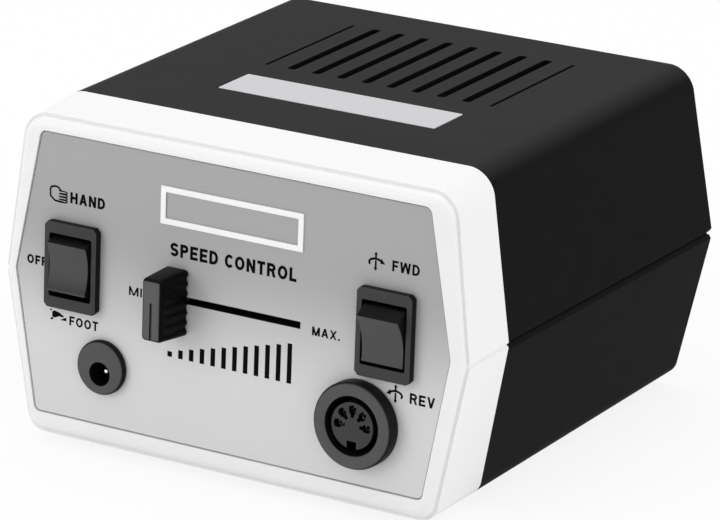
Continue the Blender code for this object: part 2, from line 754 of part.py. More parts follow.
def front_cutouts(front):
    """Helper with every hole that goes through the panel and the bezel's web."""
    bm = bmesh.new()
    near, far = -CUT_OVERRUN, WEB_BACK + CUT_OVERRUN
    for side in (-1, 1):
        size = (SWITCH_BODY_WIDTH + 2 * SEAT_GAP, SWITCH_BODY_HEIGHT + 2 * SEAT_GAP)
        add_prism(bm, rectangle((side * SWITCH_X, SWITCH_Z), *size), near, far)
    add_prism(bm, circle((SOCKET_X, SOCKET_Z), SOCKET_BARREL_RADIUS + SEAT_GAP), near, far)
    add_prism(bm, circle((JACK_X, JACK_Z), JACK_BARREL_RADIUS + SEAT_GAP), near, far)
    add_prism(bm, rectangle((SLOT_X, SLOT_Z), SLOT_LENGTH, SLOT_HEIGHT), near, far)
    return link("front_cutouts", bm, front)


def make_bezel(case, front, cutouts):
    """The white bezel: an outer ring, a web that carries the controls and a tongue inside the shells."""
    bm = bmesh.new()
    stack = []
    for k in range(BEZEL_ROUND_STEPS + 1):
        angle = math.pi / 2 * k / BEZEL_ROUND_STEPS
        inset = BEZEL_ROUND * (1 - math.sin(angle))
        depth = BEZEL_ROUND * (1 - math.cos(angle)) - BEZEL_LIP
        stack.append((fall(case_outline(HALF_WAIST_FRONT, inset)), rake_plane(depth)))
    stack.append((case_outline(HALF_WAIST_FRONT, 0), lambda x, z: -SEAT_GAP))
    add_loft(bm, stack)
    bezel = link("front_bezel", bm, case, "white_bezel")
    tongue = bmesh.new()
    slack = CASE_WALL + SEAT_GAP
    add_prism(tongue, case_outline(HALF_WAIST_FRONT, slack), -TONGUE_LENGTH, TONGUE_LENGTH)
    combine(bezel, link("bezel_tongue", tongue, case), "UNION")
    hollow = bmesh.new()
    inner = case_outline(HALF_WAIST_FRONT, max(slack, BEZEL_WALL) + TONGUE_WALL)
    add_prism(hollow, inner, rake_plane(WEB_BACK), TONGUE_LENGTH + CUT_OVERRUN)
    combine(bezel, link("bezel_hollow", hollow, case), "DIFFERENCE")
    recess = bmesh.new()
    add_prism(recess, panel_outline(-SEAT_GAP), -CUT_OVERRUN, WEB_FRONT)
    combine(bezel, link("panel_recess", recess, front), "DIFFERENCE")
    combine(bezel, cutouts, "DIFFERENCE")
    combine(bezel, pot_screw_holes(front), "DIFFERENCE")
    return bezel


def make_panel(front, cutouts):
    """The grey printed panel."""
    bm = bmesh.new()
    add_prism(bm, panel_outline(0), 0, PANEL_THICKNESS)
    panel = link("front_panel", bm, front, "grey_panel")
    combine(panel, cutouts, "DIFFERENCE")
    return panel


# Rocker switches

def make_switch_housing(name, x, front):
    """A snap-in housing with a flange, an open mouth, pivot holes and slots for its terminals."""
    centre = (x, SWITCH_Z)
    seat = -SEAT_GAP
    bm = bmesh.new()
    rings = add_prism(bm, rectangle(centre, SWITCH_FLANGE_WIDTH, SWITCH_FLANGE_HEIGHT, SWITCH_FLANGE_CHAMFER),
                      seat - SWITCH_FLANGE_THICKNESS, seat)
    rim = set(rings[0])
    bevel_edges(bm, lambda e: all(v in rim for v in e.verts), SWITCH_FLANGE_CHAMFER)
    housing = link(name, bm, front, "switch_black")
    body = bmesh.new()
    add_prism(body, rectangle(centre, SWITCH_BODY_WIDTH, SWITCH_BODY_HEIGHT),
              seat - SWITCH_FLANGE_THICKNESS / 2, SWITCH_BODY_DEPTH)
    combine(housing, link(name + "_body", body, front), "UNION")
    mouth = bmesh.new()
    add_prism(mouth, rectangle(centre, SWITCH_MOUTH_WIDTH, SWITCH_MOUTH_HEIGHT),
              -SWITCH_FLANGE_THICKNESS - CUT_OVERRUN, SWITCH_BODY_DEPTH - SWITCH_FLOOR)
    combine(housing, link(name + "_mouth", mouth, front), "DIFFERENCE")
    holes = bmesh.new()
    reach = SWITCH_BODY_WIDTH / 2 + CUT_OVERRUN
    start, end = (x - reach, ROCKER_AXIS_DEPTH, SWITCH_Z), (x + reach, ROCKER_AXIS_DEPTH, SWITCH_Z)
    add_round(holes, start, end, ROCKER_PIN_RADIUS + SEAT_GAP, steps=SMALL_ROUND_STEPS)
    for step in (-1, 0, 1):
        slot = rectangle((x, SWITCH_Z + step * TERMINAL_SPREAD),
                         TERMINAL_WIDTH + 2 * SEAT_GAP, TERMINAL_THICKNESS + 2 * SEAT_GAP)
        add_prism(holes, slot, SWITCH_BODY_DEPTH - SWITCH_FLOOR - CUT_OVERRUN, SWITCH_BODY_DEPTH + CUT_OVERRUN)
    combine(housing, link(name + "_holes", holes, front), "DIFFERENCE")
    return housing


def rocker_profile():
    """Side view of a rocker about its axis, as (depth, height): a dished face between two lips with slopes."""
    points = []
    for k in range(ROCKER_DISH_STEPS + 1):
        share = 2 * k / ROCKER_DISH_STEPS - 1
        points.append((-ROCKER_LIP_OUT + ROCKER_DISH * (1 - share * share), share * ROCKER_FACE_HALF))
    upper = [(-ROCKER_SHOULDER_OUT, ROCKER_SHOULDER_HALF), (ROCKER_BACK, ROCKER_FOOT_HALF)]
    return points + upper + [(y, -z) for y, z in reversed(upper)]


def add_side_profile(bm, profile, half_width):
    """Adds a solid whose side view is a list of (depth, height), about x = 0."""
    rings = [[bm.verts.new((x, y, z)) for y, z in profile] for x in (-half_width, half_width)]
    bm.faces.new(rings[0])
    bm.faces.new(rings[1][::-1])
    count = len(profile)
    for i in range(count):
        j = (i + 1) % count
        bm.faces.new((rings[0][j], rings[0][i], rings[1][i], rings[1][j]))


def make_rocker(name, axis, front, lean):
    """A rocker with two stub pins on its axis and a plunger behind it."""
    pivot = empty(name + "_axis", front, axis, lean)
    half = SWITCH_MOUTH_WIDTH / 2 - ROCKER_SIDE_GAP
    bm = bmesh.new()
    add_side_profile(bm, rocker_profile(), half)
    rocker = link(name, bm, pivot, "switch_black")
    extras = bmesh.new()
    reach = SWITCH_MOUTH_WIDTH / 2 + ROCKER_PIN_REACH
    add_round(extras, (-reach, 0, 0), (reach, 0, 0), ROCKER_PIN_RADIUS, steps=SMALL_ROUND_STEPS)
    combine(rocker, link(name + "_pins", extras, pivot), "UNION")
    plunger = bmesh.new()
    add_round(plunger, (0, ROCKER_BACK / 2, 0), (0, PLUNGER_REACH, 0), PLUNGER_RADIUS, steps=SMALL_ROUND_STEPS)
    combine(rocker, link(name + "_plunger", plunger, pivot), "UNION")
    return rocker


def make_seesaw(name, x, front, lean):
    """The contact plate that tips on the middle terminal."""
    pivot = empty(name + "_axis", front, (x, SEESAW_DEPTH + SEESAW_THICKNESS, SWITCH_Z), lean)
    bm = bmesh.new()
    low = (-SEESAW_WIDTH / 2, -SEESAW_THICKNESS, -SEESAW_LENGTH / 2)
    add_block(bm, low, (SEESAW_WIDTH / 2, 0, SEESAW_LENGTH / 2))
    return link(name, bm, pivot, "contact_brass")


def make_terminal(name, x, z, inner_end, front):
    """A flat blade through the housing's floor, with a hole near its tail."""
    bm = bmesh.new()
    tail = SWITCH_BODY_DEPTH + TERMINAL_TAIL
    add_block(bm, (x - TERMINAL_WIDTH / 2, inner_end, z - TERMINAL_THICKNESS / 2),
              (x + TERMINAL_WIDTH / 2, tail, z + TERMINAL_THICKNESS / 2))
    terminal = link(name, bm, front, "contact_brass")
    hole = bmesh.new()
    y = tail - TERMINAL_WIDTH / 2
    reach = TERMINAL_THICKNESS / 2 + CUT_OVERRUN
    add_round(hole, (x, y, z - reach), (x, y, z + reach), TERMINAL_HOLE_RADIUS, steps=SMALL_ROUND_STEPS)
    combine(terminal, link(name + "_hole", hole, front), "DIFFERENCE")
    return terminal


def make_switch(prefix, side, lean, front):
    """A whole rocker switch: housing, rocker, see-saw and three terminals."""
    x = side * SWITCH_X
    make_switch_housing(prefix + "_switch_housing", x, front)
    make_rocker(prefix + "_rocker", (x, ROCKER_AXIS_DEPTH, SWITCH_Z), front, lean)
    make_seesaw(prefix + "_seesaw_contact", x, front, -lean * SEESAW_SHARE)
    saddle = SEESAW_DEPTH + SEESAW_THICKNESS + SEAT_GAP
    for step, place in ((1, "upper"), (0, "middle"), (-1, "lower")):
        start = saddle if step == 0 else saddle + TERMINAL_CLEAR
        make_terminal(f"{prefix}_terminal_{place}", x, SWITCH_Z + step * TERMINAL_SPREAD, start, front)


# Speed slider

def pot_screw_places():
    """Places of the two screws in the slide resistor's ears."""
    reach = POT_LENGTH / 2 + POT_EAR / 2
    return [(POT_X - reach, SLOT_Z), (POT_X + reach, SLOT_Z)]


def pot_screw_holes(front):
    """Helper with the screws' holes through the bezel's web."""
    bm = bmesh.new()
    for place in pot_screw_places():
        add_prism(bm, circle(place, POT_SCREW_RADIUS + SEAT_GAP, SMALL_ROUND_STEPS),
                  PANEL_THICKNESS / 2, WEB_BACK + CUT_OVERRUN)
    return link("pot_screw_holes", bm, front)


def make_slide_pot(front):
    """The slide resistor: an open metal trough with ears, its track and its screws."""
    x, z = POT_X, SLOT_Z
    near = WEB_BACK + SEAT_GAP
    bm = bmesh.new()
    add_prism(bm, rectangle((x, z), POT_LENGTH, POT_HEIGHT), near, near + POT_DEPTH)
    frame = link("slide_pot_frame", bm, front, "screw_steel")
    ears = bmesh.new()
    add_prism(ears, rectangle((x, z), POT_LENGTH + 2 * POT_EAR, POT_HEIGHT), near, near + POT_EAR_THICKNESS)
    combine(frame, link("pot_ears", ears, front), "UNION")
    trough = bmesh.new()
    size = (POT_LENGTH - 2 * POT_WALL, POT_HEIGHT - 2 * POT_WALL)
    add_prism(trough, rectangle((x, z), *size), near - CUT_OVERRUN, near + POT_DEPTH - POT_WALL)
    for place in pot_screw_places():
        add_prism(trough, circle(place, POT_SCREW_RADIUS + SEAT_GAP, SMALL_ROUND_STEPS),
                  near - CUT_OVERRUN, near + POT_EAR_THICKNESS + CUT_OVERRUN)
    combine(frame, link("pot_trough", trough, front), "DIFFERENCE")
    track = bmesh.new()
    floor = near + POT_DEPTH - POT_WALL - SEAT_GAP
    add_prism(track, rectangle((x, z), size[0] - 2 * SEAT_GAP, size[1] - 2 * SEAT_GAP), floor - TRACK_THICKNESS, floor)
    link("slide_pot_track", track, front, "part_black")
    for i, (px, pz) in enumerate(pot_screw_places(), start=1):
        head = near + POT_EAR_THICKNESS + SEAT_GAP + POT_SCREW_HEAD_HEIGHT
        make_screw(f"slide_pot_screw_{i}", (px, head, pz), (px, WEB_FRONT, pz),
                   (POT_SCREW_RADIUS, POT_SCREW_HEAD_RADIUS), POT_SCREW_HEAD_HEIGHT, front)
    return floor - TRACK_THICKNESS


def make_carriage(front, track_face):
    """The carriage in the trough, its lever out through the slot, and the wiper on the track."""
    x, z = KNOB_REST_X, SLOT_Z
    near = WEB_BACK + 2 * SEAT_GAP
    height = POT_HEIGHT - 2 * POT_WALL - 2 * SEAT_GAP
    bm = bmesh.new()
    add_prism(bm, rectangle((x, z), CARRIAGE_WIDTH, height), near, near + CARRIAGE_THICKNESS)
    carriage = link("slider_carriage", bm, front, "screw_steel")
    lever = bmesh.new()
    add_prism(lever, rectangle((x, z), LEVER_WIDTH, LEVER_THICKNESS), -LEVER_REACH, near + CARRIAGE_THICKNESS / 2)
    combine(carriage, link("slider_lever", lever, front), "UNION")
    wiper = bmesh.new()
    add_prism(wiper, rectangle((x, z), WIPER_WIDTH, height / 2),
              near + CARRIAGE_THICKNESS + SEAT_GAP, track_face - SEAT_GAP)
    link("slider_wiper", wiper, front, "contact_brass")


def make_knob(front):
    """The tapered slider knob, with an index groove on its face, ribbed sides and a socket for the lever."""
    centre = (KNOB_REST_X, KNOB_Z)
    bm = bmesh.new()
    tip = rectangle(centre, KNOB_TIP_WIDTH, KNOB_TIP_HEIGHT)
    base = rectangle(centre, KNOB_BASE_WIDTH, KNOB_BASE_HEIGHT)
    add_prism(bm, tip, -KNOB_OUT, -KNOB_STANDOFF, base)
    bevel_edges(bm, lambda e: not on_plane(e, -KNOB_STANDOFF) and e.calc_face_angle(0) > SMOOTH_ANGLE, KNOB_EDGE, 2)
    knob = link("speed_knob", bm, front, "knob_black")
    cuts = bmesh.new()
    slack = SEAT_GAP
    add_prism(cuts, rectangle((KNOB_REST_X, SLOT_Z), LEVER_WIDTH + 2 * slack, LEVER_THICKNESS + 2 * slack),
              -LEVER_REACH - slack, -KNOB_STANDOFF + CUT_OVERRUN)
    line = rectangle((centre[0], centre[1] - KNOB_TIP_HEIGHT / 4), KNOB_LINE_WIDTH, KNOB_TIP_HEIGHT)
    add_prism(cuts, line, -KNOB_OUT - CUT_OVERRUN, -KNOB_OUT + KNOB_LINE_DEPTH)
    for side in (-1, 1):
        face = centre[0] + side * KNOB_BASE_WIDTH / 2
        middle = face + side * (CUT_OVERRUN / 2 - KNOB_RIB_DEPTH - (KNOB_BASE_WIDTH - KNOB_TIP_WIDTH) / 4)
        for i in range(KNOB_RIB_COUNT):
            z = centre[1] + (i - (KNOB_RIB_COUNT - 1) / 2) * KNOB_RIB_PITCH
            add_prism(cuts, rectangle((middle, z), CUT_OVERRUN, KNOB_RIB_WIDTH),
                      -KNOB_OUT + KNOB_EDGE * 2, -KNOB_STANDOFF - KNOB_EDGE)
    combine(knob, link("knob_cuts", cuts, front), "DIFFERENCE")
    return knob


# Sockets

def contact_places():
    """Places of the socket's five contacts, on an arc open at the bottom."""
    places = []
    for i in range(CONTACT_COUNT):
        angle = math.pi / 2 + (i - (CONTACT_COUNT - 1) / 2) * CONTACT_STEP
        places.append((SOCKET_X + CONTACT_CIRCLE * math.cos(angle), SOCKET_Z + CONTACT_CIRCLE * math.sin(angle)))
    return places


def add_flange(bm, centre, radius, thickness, chamfer):
    """Adds a round flange in front of the panel, its front edge chamfered."""
    rings = add_prism(bm, circle(centre, radius), -SEAT_GAP - thickness, -SEAT_GAP)
    rim = set(rings[0])
    bevel_edges(bm, lambda e: all(v in rim for v in e.verts), chamfer)


def make_handpiece_socket(front):
    """The round handpiece socket: shell, insert with a keyway, contacts and nut."""
    centre = (SOCKET_X, SOCKET_Z)
    face = -SEAT_GAP - SOCKET_FLANGE_THICKNESS
    bm = bmesh.new()
    add_flange(bm, centre, SOCKET_FLANGE_RADIUS, SOCKET_FLANGE_THICKNESS, SOCKET_FLANGE_CHAMFER)
    shell = link("handpiece_socket_shell", bm, front, "switch_black")
    barrel = bmesh.new()
    add_prism(barrel, circle(centre, SOCKET_BARREL_RADIUS), face / 2, SOCKET_DEPTH)
    combine(shell, link("socket_barrel", barrel, front), "UNION")
    bore = bmesh.new()
    add_prism(bore, circle(centre, SOCKET_BORE_RADIUS), face - CUT_OVERRUN, SOCKET_DEPTH - SOCKET_FLOOR)
    combine(shell, link("socket_bore", bore, front), "DIFFERENCE")
    tail = bmesh.new()
    add_prism(tail, circle(centre, SOCKET_TAIL_RADIUS), 0, SOCKET_DEPTH + CUT_OVERRUN)
    combine(shell, link("socket_tail_hole", tail, front), "DIFFERENCE")

    foot = SOCKET_DEPTH - SOCKET_FLOOR - SEAT_GAP
    bm = bmesh.new()
    add_prism(bm, circle(centre, INSERT_RADIUS), face + INSERT_RECESS, foot)
    insert = link("handpiece_socket_insert", bm, front, "part_black")
    base = bmesh.new()
    add_prism(base, circle(centre, SOCKET_BORE_RADIUS - SEAT_GAP), foot - INSERT_BASE_THICKNESS, foot)
    combine(insert, link("insert_base", base, front), "UNION")
    cuts = bmesh.new()
    key = (centre[0], centre[1] - INSERT_RADIUS)
    add_prism(cuts, rectangle(key, KEYWAY_WIDTH, 2 * KEYWAY_DEPTH), face - CUT_OVERRUN, face + KEYWAY_LENGTH)
    for place in contact_places():
        add_prism(cuts, circle(place, CONTACT_HOLE_RADIUS, SMALL_ROUND_STEPS), face - CUT_OVERRUN, foot + CUT_OVERRUN)
    combine(insert, link("insert_cuts", cuts, front), "DIFFERENCE")
    for i, place in enumerate(contact_places(), start=1):
        bm = bmesh.new()
        add_prism(bm, circle(place, CONTACT_RADIUS, SMALL_ROUND_STEPS),
                  face + CONTACT_RECESS, SOCKET_DEPTH + CONTACT_TAIL)
        link(f"socket_contact_{i}", bm, front, "contact_brass")
    make_nut("handpiece_socket_nut", centre, SOCKET_BARREL_RADIUS, SOCKET_NUT_RADIUS, front)


def make_nut(name, centre, thread_radius, across, front):
    """A hexagonal ring nut behind the bezel's web."""
    near = WEB_BACK + SEAT_GAP
    bm = bmesh.new()
    add_prism(bm, circle(centre, across, 6), near, near + NUT_THICKNESS)
    nut = link(name, bm, front, "screw_steel")
    hole = bmesh.new()
    add_prism(hole, circle(centre, thread_radius + SEAT_GAP), near - CUT_OVERRUN, near + NUT_THICKNESS + CUT_OVERRUN)
    combine(nut, link(name + "_hole", hole, front), "DIFFERENCE")
    return nut


def make_foot_jack(front):
    """The foot pedal's jack: a flanged body with a low-set hole, its centre pin and nut."""
    centre = (JACK_X, JACK_Z)
    hole_centre = (JACK_X, JACK_Z - JACK_HOLE_DROP)
    face = -SEAT_GAP - JACK_FLANGE_THICKNESS
    floor = JACK_DEPTH - JACK_FLOOR
    bm = bmesh.new()
    add_flange(bm, centre, JACK_FLANGE_RADIUS, JACK_FLANGE_THICKNESS, JACK_FLANGE_CHAMFER)
    body = link("foot_jack_body", bm, front, "switch_black")
    barrel = bmesh.new()
    add_prism(barrel, circle(centre, JACK_BARREL_RADIUS), face / 2, JACK_DEPTH)
    combine(body, link("jack_barrel", barrel, front), "UNION")
    hole = bmesh.new()
    add_prism(hole, circle(hole_centre, JACK_HOLE_RADIUS), face - CUT_OVERRUN, floor)
    combine(body, link("jack_hole", hole, front), "DIFFERENCE")
    bore = bmesh.new()
    add_prism(bore, circle(hole_centre, JACK_PIN_RADIUS + SEAT_GAP, SMALL_ROUND_STEPS), 0, JACK_DEPTH + CUT_OVERRUN)
    combine(body, link("jack_pin_bore", bore, front), "DIFFERENCE")
    pin = bmesh.new()
    add_prism(pin, circle(hole_centre, JACK_PIN_RADIUS, SMALL_ROUND_STEPS),
              face + JACK_PIN_RECESS, JACK_DEPTH + JACK_PIN_TAIL)
    link("foot_jack_pin", pin, front, "contact_brass")
    make_nut("foot_jack_nut", centre, JACK_BARREL_RADIUS, JACK_NUT_RADIUS, front)


# Back

def make_back_plate(case):
    """The plate that closes the back, with holes for the fuse holder and the gland."""
    near = BACK_FACE - BACK_THICKNESS
    bm = bmesh.new()
    add_prism(bm, case_outline(HALF_WAIST_FRONT, CASE_WALL + SEAT_GAP), near, BACK_FACE)
    plate = link("rear_panel", bm, case, "black_shell")
    holes = bmesh.new()
    for centre, radius in (((FUSE_X, FUSE_Z), FUSE_BODY_RADIUS), ((GLAND_X, GLAND_Z), GLAND_BODY_RADIUS)):
        add_prism(holes, circle(centre, radius + SEAT_GAP), near - CUT_OVERRUN, BACK_FACE + CUT_OVERRUN)
    combine(plate, link("rear_holes", holes, case), "DIFFERENCE")
    return plate


def make_fuse(case):
    """The fuse holder, its quarter-turn cap and the fuse inside."""
    centre = (FUSE_X, FUSE_Z)
    collar = BACK_FACE + SEAT_GAP
    outer = collar + FUSE_COLLAR_THICKNESS
    inner = BACK_FACE - FUSE_BODY_LENGTH
    bm = bmesh.new()
    add_prism(bm, circle(centre, FUSE_COLLAR_RADIUS), collar, outer)
    body = link("fuse_holder", bm, case, "part_black")
    tube = bmesh.new()
    add_prism(tube, circle(centre, FUSE_BODY_RADIUS), inner, outer - FUSE_COLLAR_THICKNESS / 2)
    combine(body, link("fuse_tube", tube, case), "UNION")
    bore = bmesh.new()
    add_prism(bore, circle(centre, FUSE_BODY_RADIUS - FUSE_WALL), inner + FUSE_WALL, outer + CUT_OVERRUN)
    combine(body, link("fuse_bore", bore, case), "DIFFERENCE")

    hinge = empty("fuse_cap_axis", case, (FUSE_X, outer + SEAT_GAP, FUSE_Z))
    bm = bmesh.new()
    add_prism(bm, circle((0, 0), FUSE_CAP_RADIUS), 0, FUSE_CAP_THICKNESS)
    cap = link("fuse_cap", bm, hinge, "part_black")
    stem = bmesh.new()
    add_prism(stem, circle((0, 0), FUSE_CAP_STEM_RADIUS), -FUSE_CAP_STEM_LENGTH, FUSE_CAP_THICKNESS / 2)
    combine(cap, link("fuse_cap_stem", stem, hinge), "UNION")
    slot = bmesh.new()
    add_prism(slot, rectangle((0, 0), 4 * FUSE_CAP_RADIUS, FUSE_CAP_SLOT_WIDTH),
              FUSE_CAP_THICKNESS - FUSE_CAP_SLOT_DEPTH, FUSE_CAP_THICKNESS + CUT_OVERRUN)
    combine(cap, link("fuse_cap_slot", slot, hinge), "DIFFERENCE")

    link_end = outer + SEAT_GAP - FUSE_CAP_STEM_LENGTH - SEAT_GAP
    fuse = bmesh.new()
    add_prism(fuse, circle(centre, FUSE_RADIUS, SMALL_ROUND_STEPS), link_end - FUSE_LENGTH, link_end)
    link("fuse_link", fuse, case, "fuse_glass")


def make_gland(case):
    """The strain-relief gland that the mains lead would come through."""
    centre = (GLAND_X, GLAND_Z)
    collar = BACK_FACE + SEAT_GAP
    outer = collar + GLAND_COLLAR_THICKNESS
    bm = bmesh.new()
    add_prism(bm, circle(centre, GLAND_COLLAR_RADIUS), collar, outer)
    gland = link("cord_gland", bm, case, "part_black")
    body = bmesh.new()
    add_prism(body, circle(centre, GLAND_BODY_RADIUS),
              BACK_FACE - BACK_THICKNESS - GLAND_INNER_LENGTH, outer - GLAND_COLLAR_THICKNESS / 2)
    combine(gland, link("gland_body", body, case), "UNION")
    sleeve = bmesh.new()
    add_round(sleeve, (GLAND_X, outer - GLAND_COLLAR_THICKNESS / 2, GLAND_Z),
              (GLAND_X, outer + GLAND_SLEEVE_LENGTH, GLAND_Z),
              GLAND_BODY_RADIUS, GLAND_SLEEVE_RADIUS)
    combine(gland, link("gland_sleeve", sleeve, case), "UNION")
    bore = bmesh.new()
    add_prism(bore, circle(centre, GLAND_BORE_RADIUS, SMALL_ROUND_STEPS),
              BACK_FACE - BACK_THICKNESS - GLAND_INNER_LENGTH - CUT_OVERRUN,
              outer + GLAND_SLEEVE_LENGTH + CUT_OVERRUN)
    combine(gland, link("gland_bore", bore, case), "DIFFERENCE")
    return gland


# Inside

def make_transformer(case):
    """The mains transformer: laminated core, bobbin, winding, strap and screws."""
    base = CASE_WALL + CORE_PAD_HEIGHT + SEAT_GAP
    y0, y1 = CORE_Y - CORE_DEPTH / 2, CORE_Y + CORE_DEPTH / 2
    x0, x1 = CORE_X - CORE_WIDTH / 2, CORE_X + CORE_WIDTH / 2
    window = (CORE_WIDTH - CORE_LEG - 2 * CORE_YOKE) / 2
    bm = bmesh.new()
    add_block(bm, (x0, y0, base), (x1, y1, base + CORE_HEIGHT))
    core = link("transformer_core", bm, case, "core_steel")
    windows = bmesh.new()
    for start in (x0 + CORE_YOKE, x1 - CORE_YOKE - window):
        add_block(windows, (start, y0 - CUT_OVERRUN, base + CORE_YOKE),
                  (start + window, y1 + CUT_OVERRUN, base + CORE_HEIGHT - CORE_YOKE))
    combine(core, link("core_windows", windows, case), "DIFFERENCE")

    low, high = base + CORE_YOKE + SEAT_GAP, base + CORE_HEIGHT - CORE_YOKE - SEAT_GAP
    bore = (CORE_LEG / 2 + SEAT_GAP, CORE_DEPTH / 2 + SEAT_GAP)
    tube = (bore[0] + BOBBIN_WALL, bore[1] + BOBBIN_WALL)
    rim = (tube[0] + WINDING_THICKNESS, tube[1] + WINDING_THICKNESS)
    bobbin = make_sleeve("transformer_bobbin", tube, bore, low, high, "bobbin_plastic", case)
    flanges = bmesh.new()
    for z in (low, high - BOBBIN_FLANGE):
        add_block(flanges, (CORE_X - rim[0], CORE_Y - rim[1], z), (CORE_X + rim[0], CORE_Y + rim[1], z + BOBBIN_FLANGE))
    combine(bobbin, link("bobbin_flanges", flanges, case), "UNION")
    through = bmesh.new()
    add_block(through, (CORE_X - bore[0], CORE_Y - bore[1], low - CUT_OVERRUN),
              (CORE_X + bore[0], CORE_Y + bore[1], high + CUT_OVERRUN))
    combine(bobbin, link("bobbin_bore", through, case), "DIFFERENCE")
    inner = (tube[0] + SEAT_GAP, tube[1] + SEAT_GAP)
    outer = (rim[0] - SEAT_GAP, rim[1] - SEAT_GAP)
    make_sleeve("transformer_winding", outer, inner, low + BOBBIN_FLANGE + SEAT_GAP,
                high - BOBBIN_FLANGE - SEAT_GAP, "copper_winding", case)
    make_strap(case, base)


def make_sleeve(name, outer, inner, low, high, finish, case):
    """A square tube round the core's middle leg."""
    bm = bmesh.new()
    add_block(bm, (CORE_X - outer[0], CORE_Y - outer[1], low), (CORE_X + outer[0], CORE_Y + outer[1], high))
    sleeve = link(name, bm, case, finish)
    hole = bmesh.new()
    add_block(hole, (CORE_X - inner[0], CORE_Y - inner[1], low - CUT_OVERRUN),
              (CORE_X + inner[0], CORE_Y + inner[1], high + CUT_OVERRUN))
    combine(sleeve, link(name + "_hole", hole, case), "DIFFERENCE")
    return sleeve


def make_strap(case, base):
    """The steel strap over the core, with an ear and a screw at each side."""
    pad = CASE_WALL + CORE_PAD_HEIGHT + SEAT_GAP
    gap = SEAT_GAP
    inner, top = CORE_WIDTH / 2 + gap, base + CORE_HEIGHT + gap
    outer, ear = inner + STRAP_THICKNESS, inner + STRAP_THICKNESS + STRAP_EAR
    half = [
        (inner, pad), (ear, pad), (ear, pad + STRAP_THICKNESS), (outer, pad + STRAP_THICKNESS),
        (outer, top + STRAP_THICKNESS),
    ]
    outline = half + [(-x, z) for x, z in reversed(half)] + [(-inner, top), (inner, top)]
    bm = bmesh.new()
    add_prism(bm, [(CORE_X + x, z) for x, z in outline], CORE_Y - STRAP_DEPTH / 2, CORE_Y + STRAP_DEPTH / 2)
    strap = link("transformer_strap", bm, case, "screw_steel")
    holes = bmesh.new()
    for x, y in strap_screw_places():
        add_round(holes, (x, y, pad - CUT_OVERRUN), (x, y, pad + STRAP_THICKNESS + CUT_OVERRUN),
                  STRAP_SCREW_RADIUS + gap, steps=SMALL_ROUND_STEPS)
    combine(strap, link("strap_holes", holes, case), "DIFFERENCE")
    for i, (x, y) in enumerate(strap_screw_places(), start=1):
        seat = pad + STRAP_THICKNESS + gap
        tip = CASE_WALL + CORE_PAD_HEIGHT + STRAP_THICKNESS - STRAP_SCREW_LENGTH + gap
        make_screw(f"strap_screw_{i}", (x, y, seat + SCREW_HEAD_HEIGHT), (x, y, tip),
                   (STRAP_SCREW_RADIUS, SCREW_HEAD_RADIUS), SCREW_HEAD_HEIGHT, case)


def make_board(case):
    """The speed board on its four posts, with the pieces that stand on it."""
    x0, x1 = BOARD_X - BOARD_WIDTH / 2, BOARD_X + BOARD_WIDTH / 2
    y0, y1 = BOARD_Y - BOARD_LENGTH / 2, BOARD_Y + BOARD_LENGTH / 2
    bm = bmesh.new()
    add_block(bm, (x0, y0, BOARD_HEIGHT), (x1, y1, BOARD_HEIGHT + BOARD_THICKNESS))
    link("circuit_board", bm, case, "board_green")
    top = BOARD_HEIGHT + BOARD_THICKNESS + SEAT_GAP
    bm = bmesh.new()
    place = (CAPACITOR_X, CAPACITOR_Y)
    add_round(bm, (*place, top), (*place, top + CAPACITOR_HEIGHT), CAPACITOR_RADIUS)
    link("smoothing_capacitor", bm, case, "part_black")
    bm = bmesh.new()
    add_block(bm, (CAPACITOR_X - BRIDGE_WIDTH / 2, BRIDGE_Y, top),
              (CAPACITOR_X + BRIDGE_WIDTH / 2, BRIDGE_Y + BRIDGE_THICKNESS, top + BRIDGE_HEIGHT))
    link("bridge_rectifier", bm, case, "part_black")
    y = SINK_Y
    sink = bmesh.new()
    add_block(sink, (SINK_X - SINK_BASE, y - SINK_LENGTH / 2, top), (SINK_X, y + SINK_LENGTH / 2, top + SINK_HEIGHT))
    heat_sink = link("heat_sink", sink, case, "sink_aluminium")
    fins = bmesh.new()
    pitch = (SINK_LENGTH - SINK_FIN_THICKNESS) / (SINK_FIN_COUNT - 1)
    for i in range(SINK_FIN_COUNT):
        start = y - SINK_LENGTH / 2 + i * pitch
        add_block(fins, (SINK_X - SINK_BASE / 2, start, top),
                  (SINK_X + SINK_FIN_REACH, start + SINK_FIN_THICKNESS, top + SINK_HEIGHT))
    combine(heat_sink, link("sink_fins", fins, case), "UNION")
    bm = bmesh.new()
    face = SINK_X - SINK_BASE - SEAT_GAP
    add_block(bm, (face - TRANSISTOR_THICKNESS, y - TRANSISTOR_WIDTH / 2, top),
              (face, y + TRANSISTOR_WIDTH / 2, top + TRANSISTOR_HEIGHT))
    link("power_transistor", bm, case, "part_black")


def main():
    """Builds the whole control box."""
    clear_scene()
    case = empty("case_frame", None, (0, -MIDDLE_Y, RIDE_HEIGHT))
    front = empty("front_frame", case, (0, -PANEL_SETBACK, WAIST_HEIGHT), -RAKE)
    make_lower_shell(case)
    make_upper_shell(case)
    make_case_screws(case)
    make_feet(case)
    make_name_plate(case)
    cutouts = front_cutouts(front)
    make_bezel(case, front, cutouts)
    make_panel(front, cutouts)
    make_switch("mode", -1, 0.0, front)
    make_switch("direction", 1, DIRECTION_THROW, front)
    track_face = make_slide_pot(front)
    make_carriage(front, track_face)
    make_knob(front)
    make_handpiece_socket(front)
    make_foot_jack(front)
    make_back_plate(case)
    make_fuse(case)
    make_gland(case)
    make_transformer(case)
    make_board(case)


main()
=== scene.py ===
"""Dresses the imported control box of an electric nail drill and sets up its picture.

Sizes in the classes are millimetres. A piece is shaped either in the case's frame, whose origin lies under
the middle of the bezel's joint face, or in the front's frame, which leans back with the control panel.
In both, x runs right, y runs into the case and z runs up. A piece goes to its place when it is made.
"""

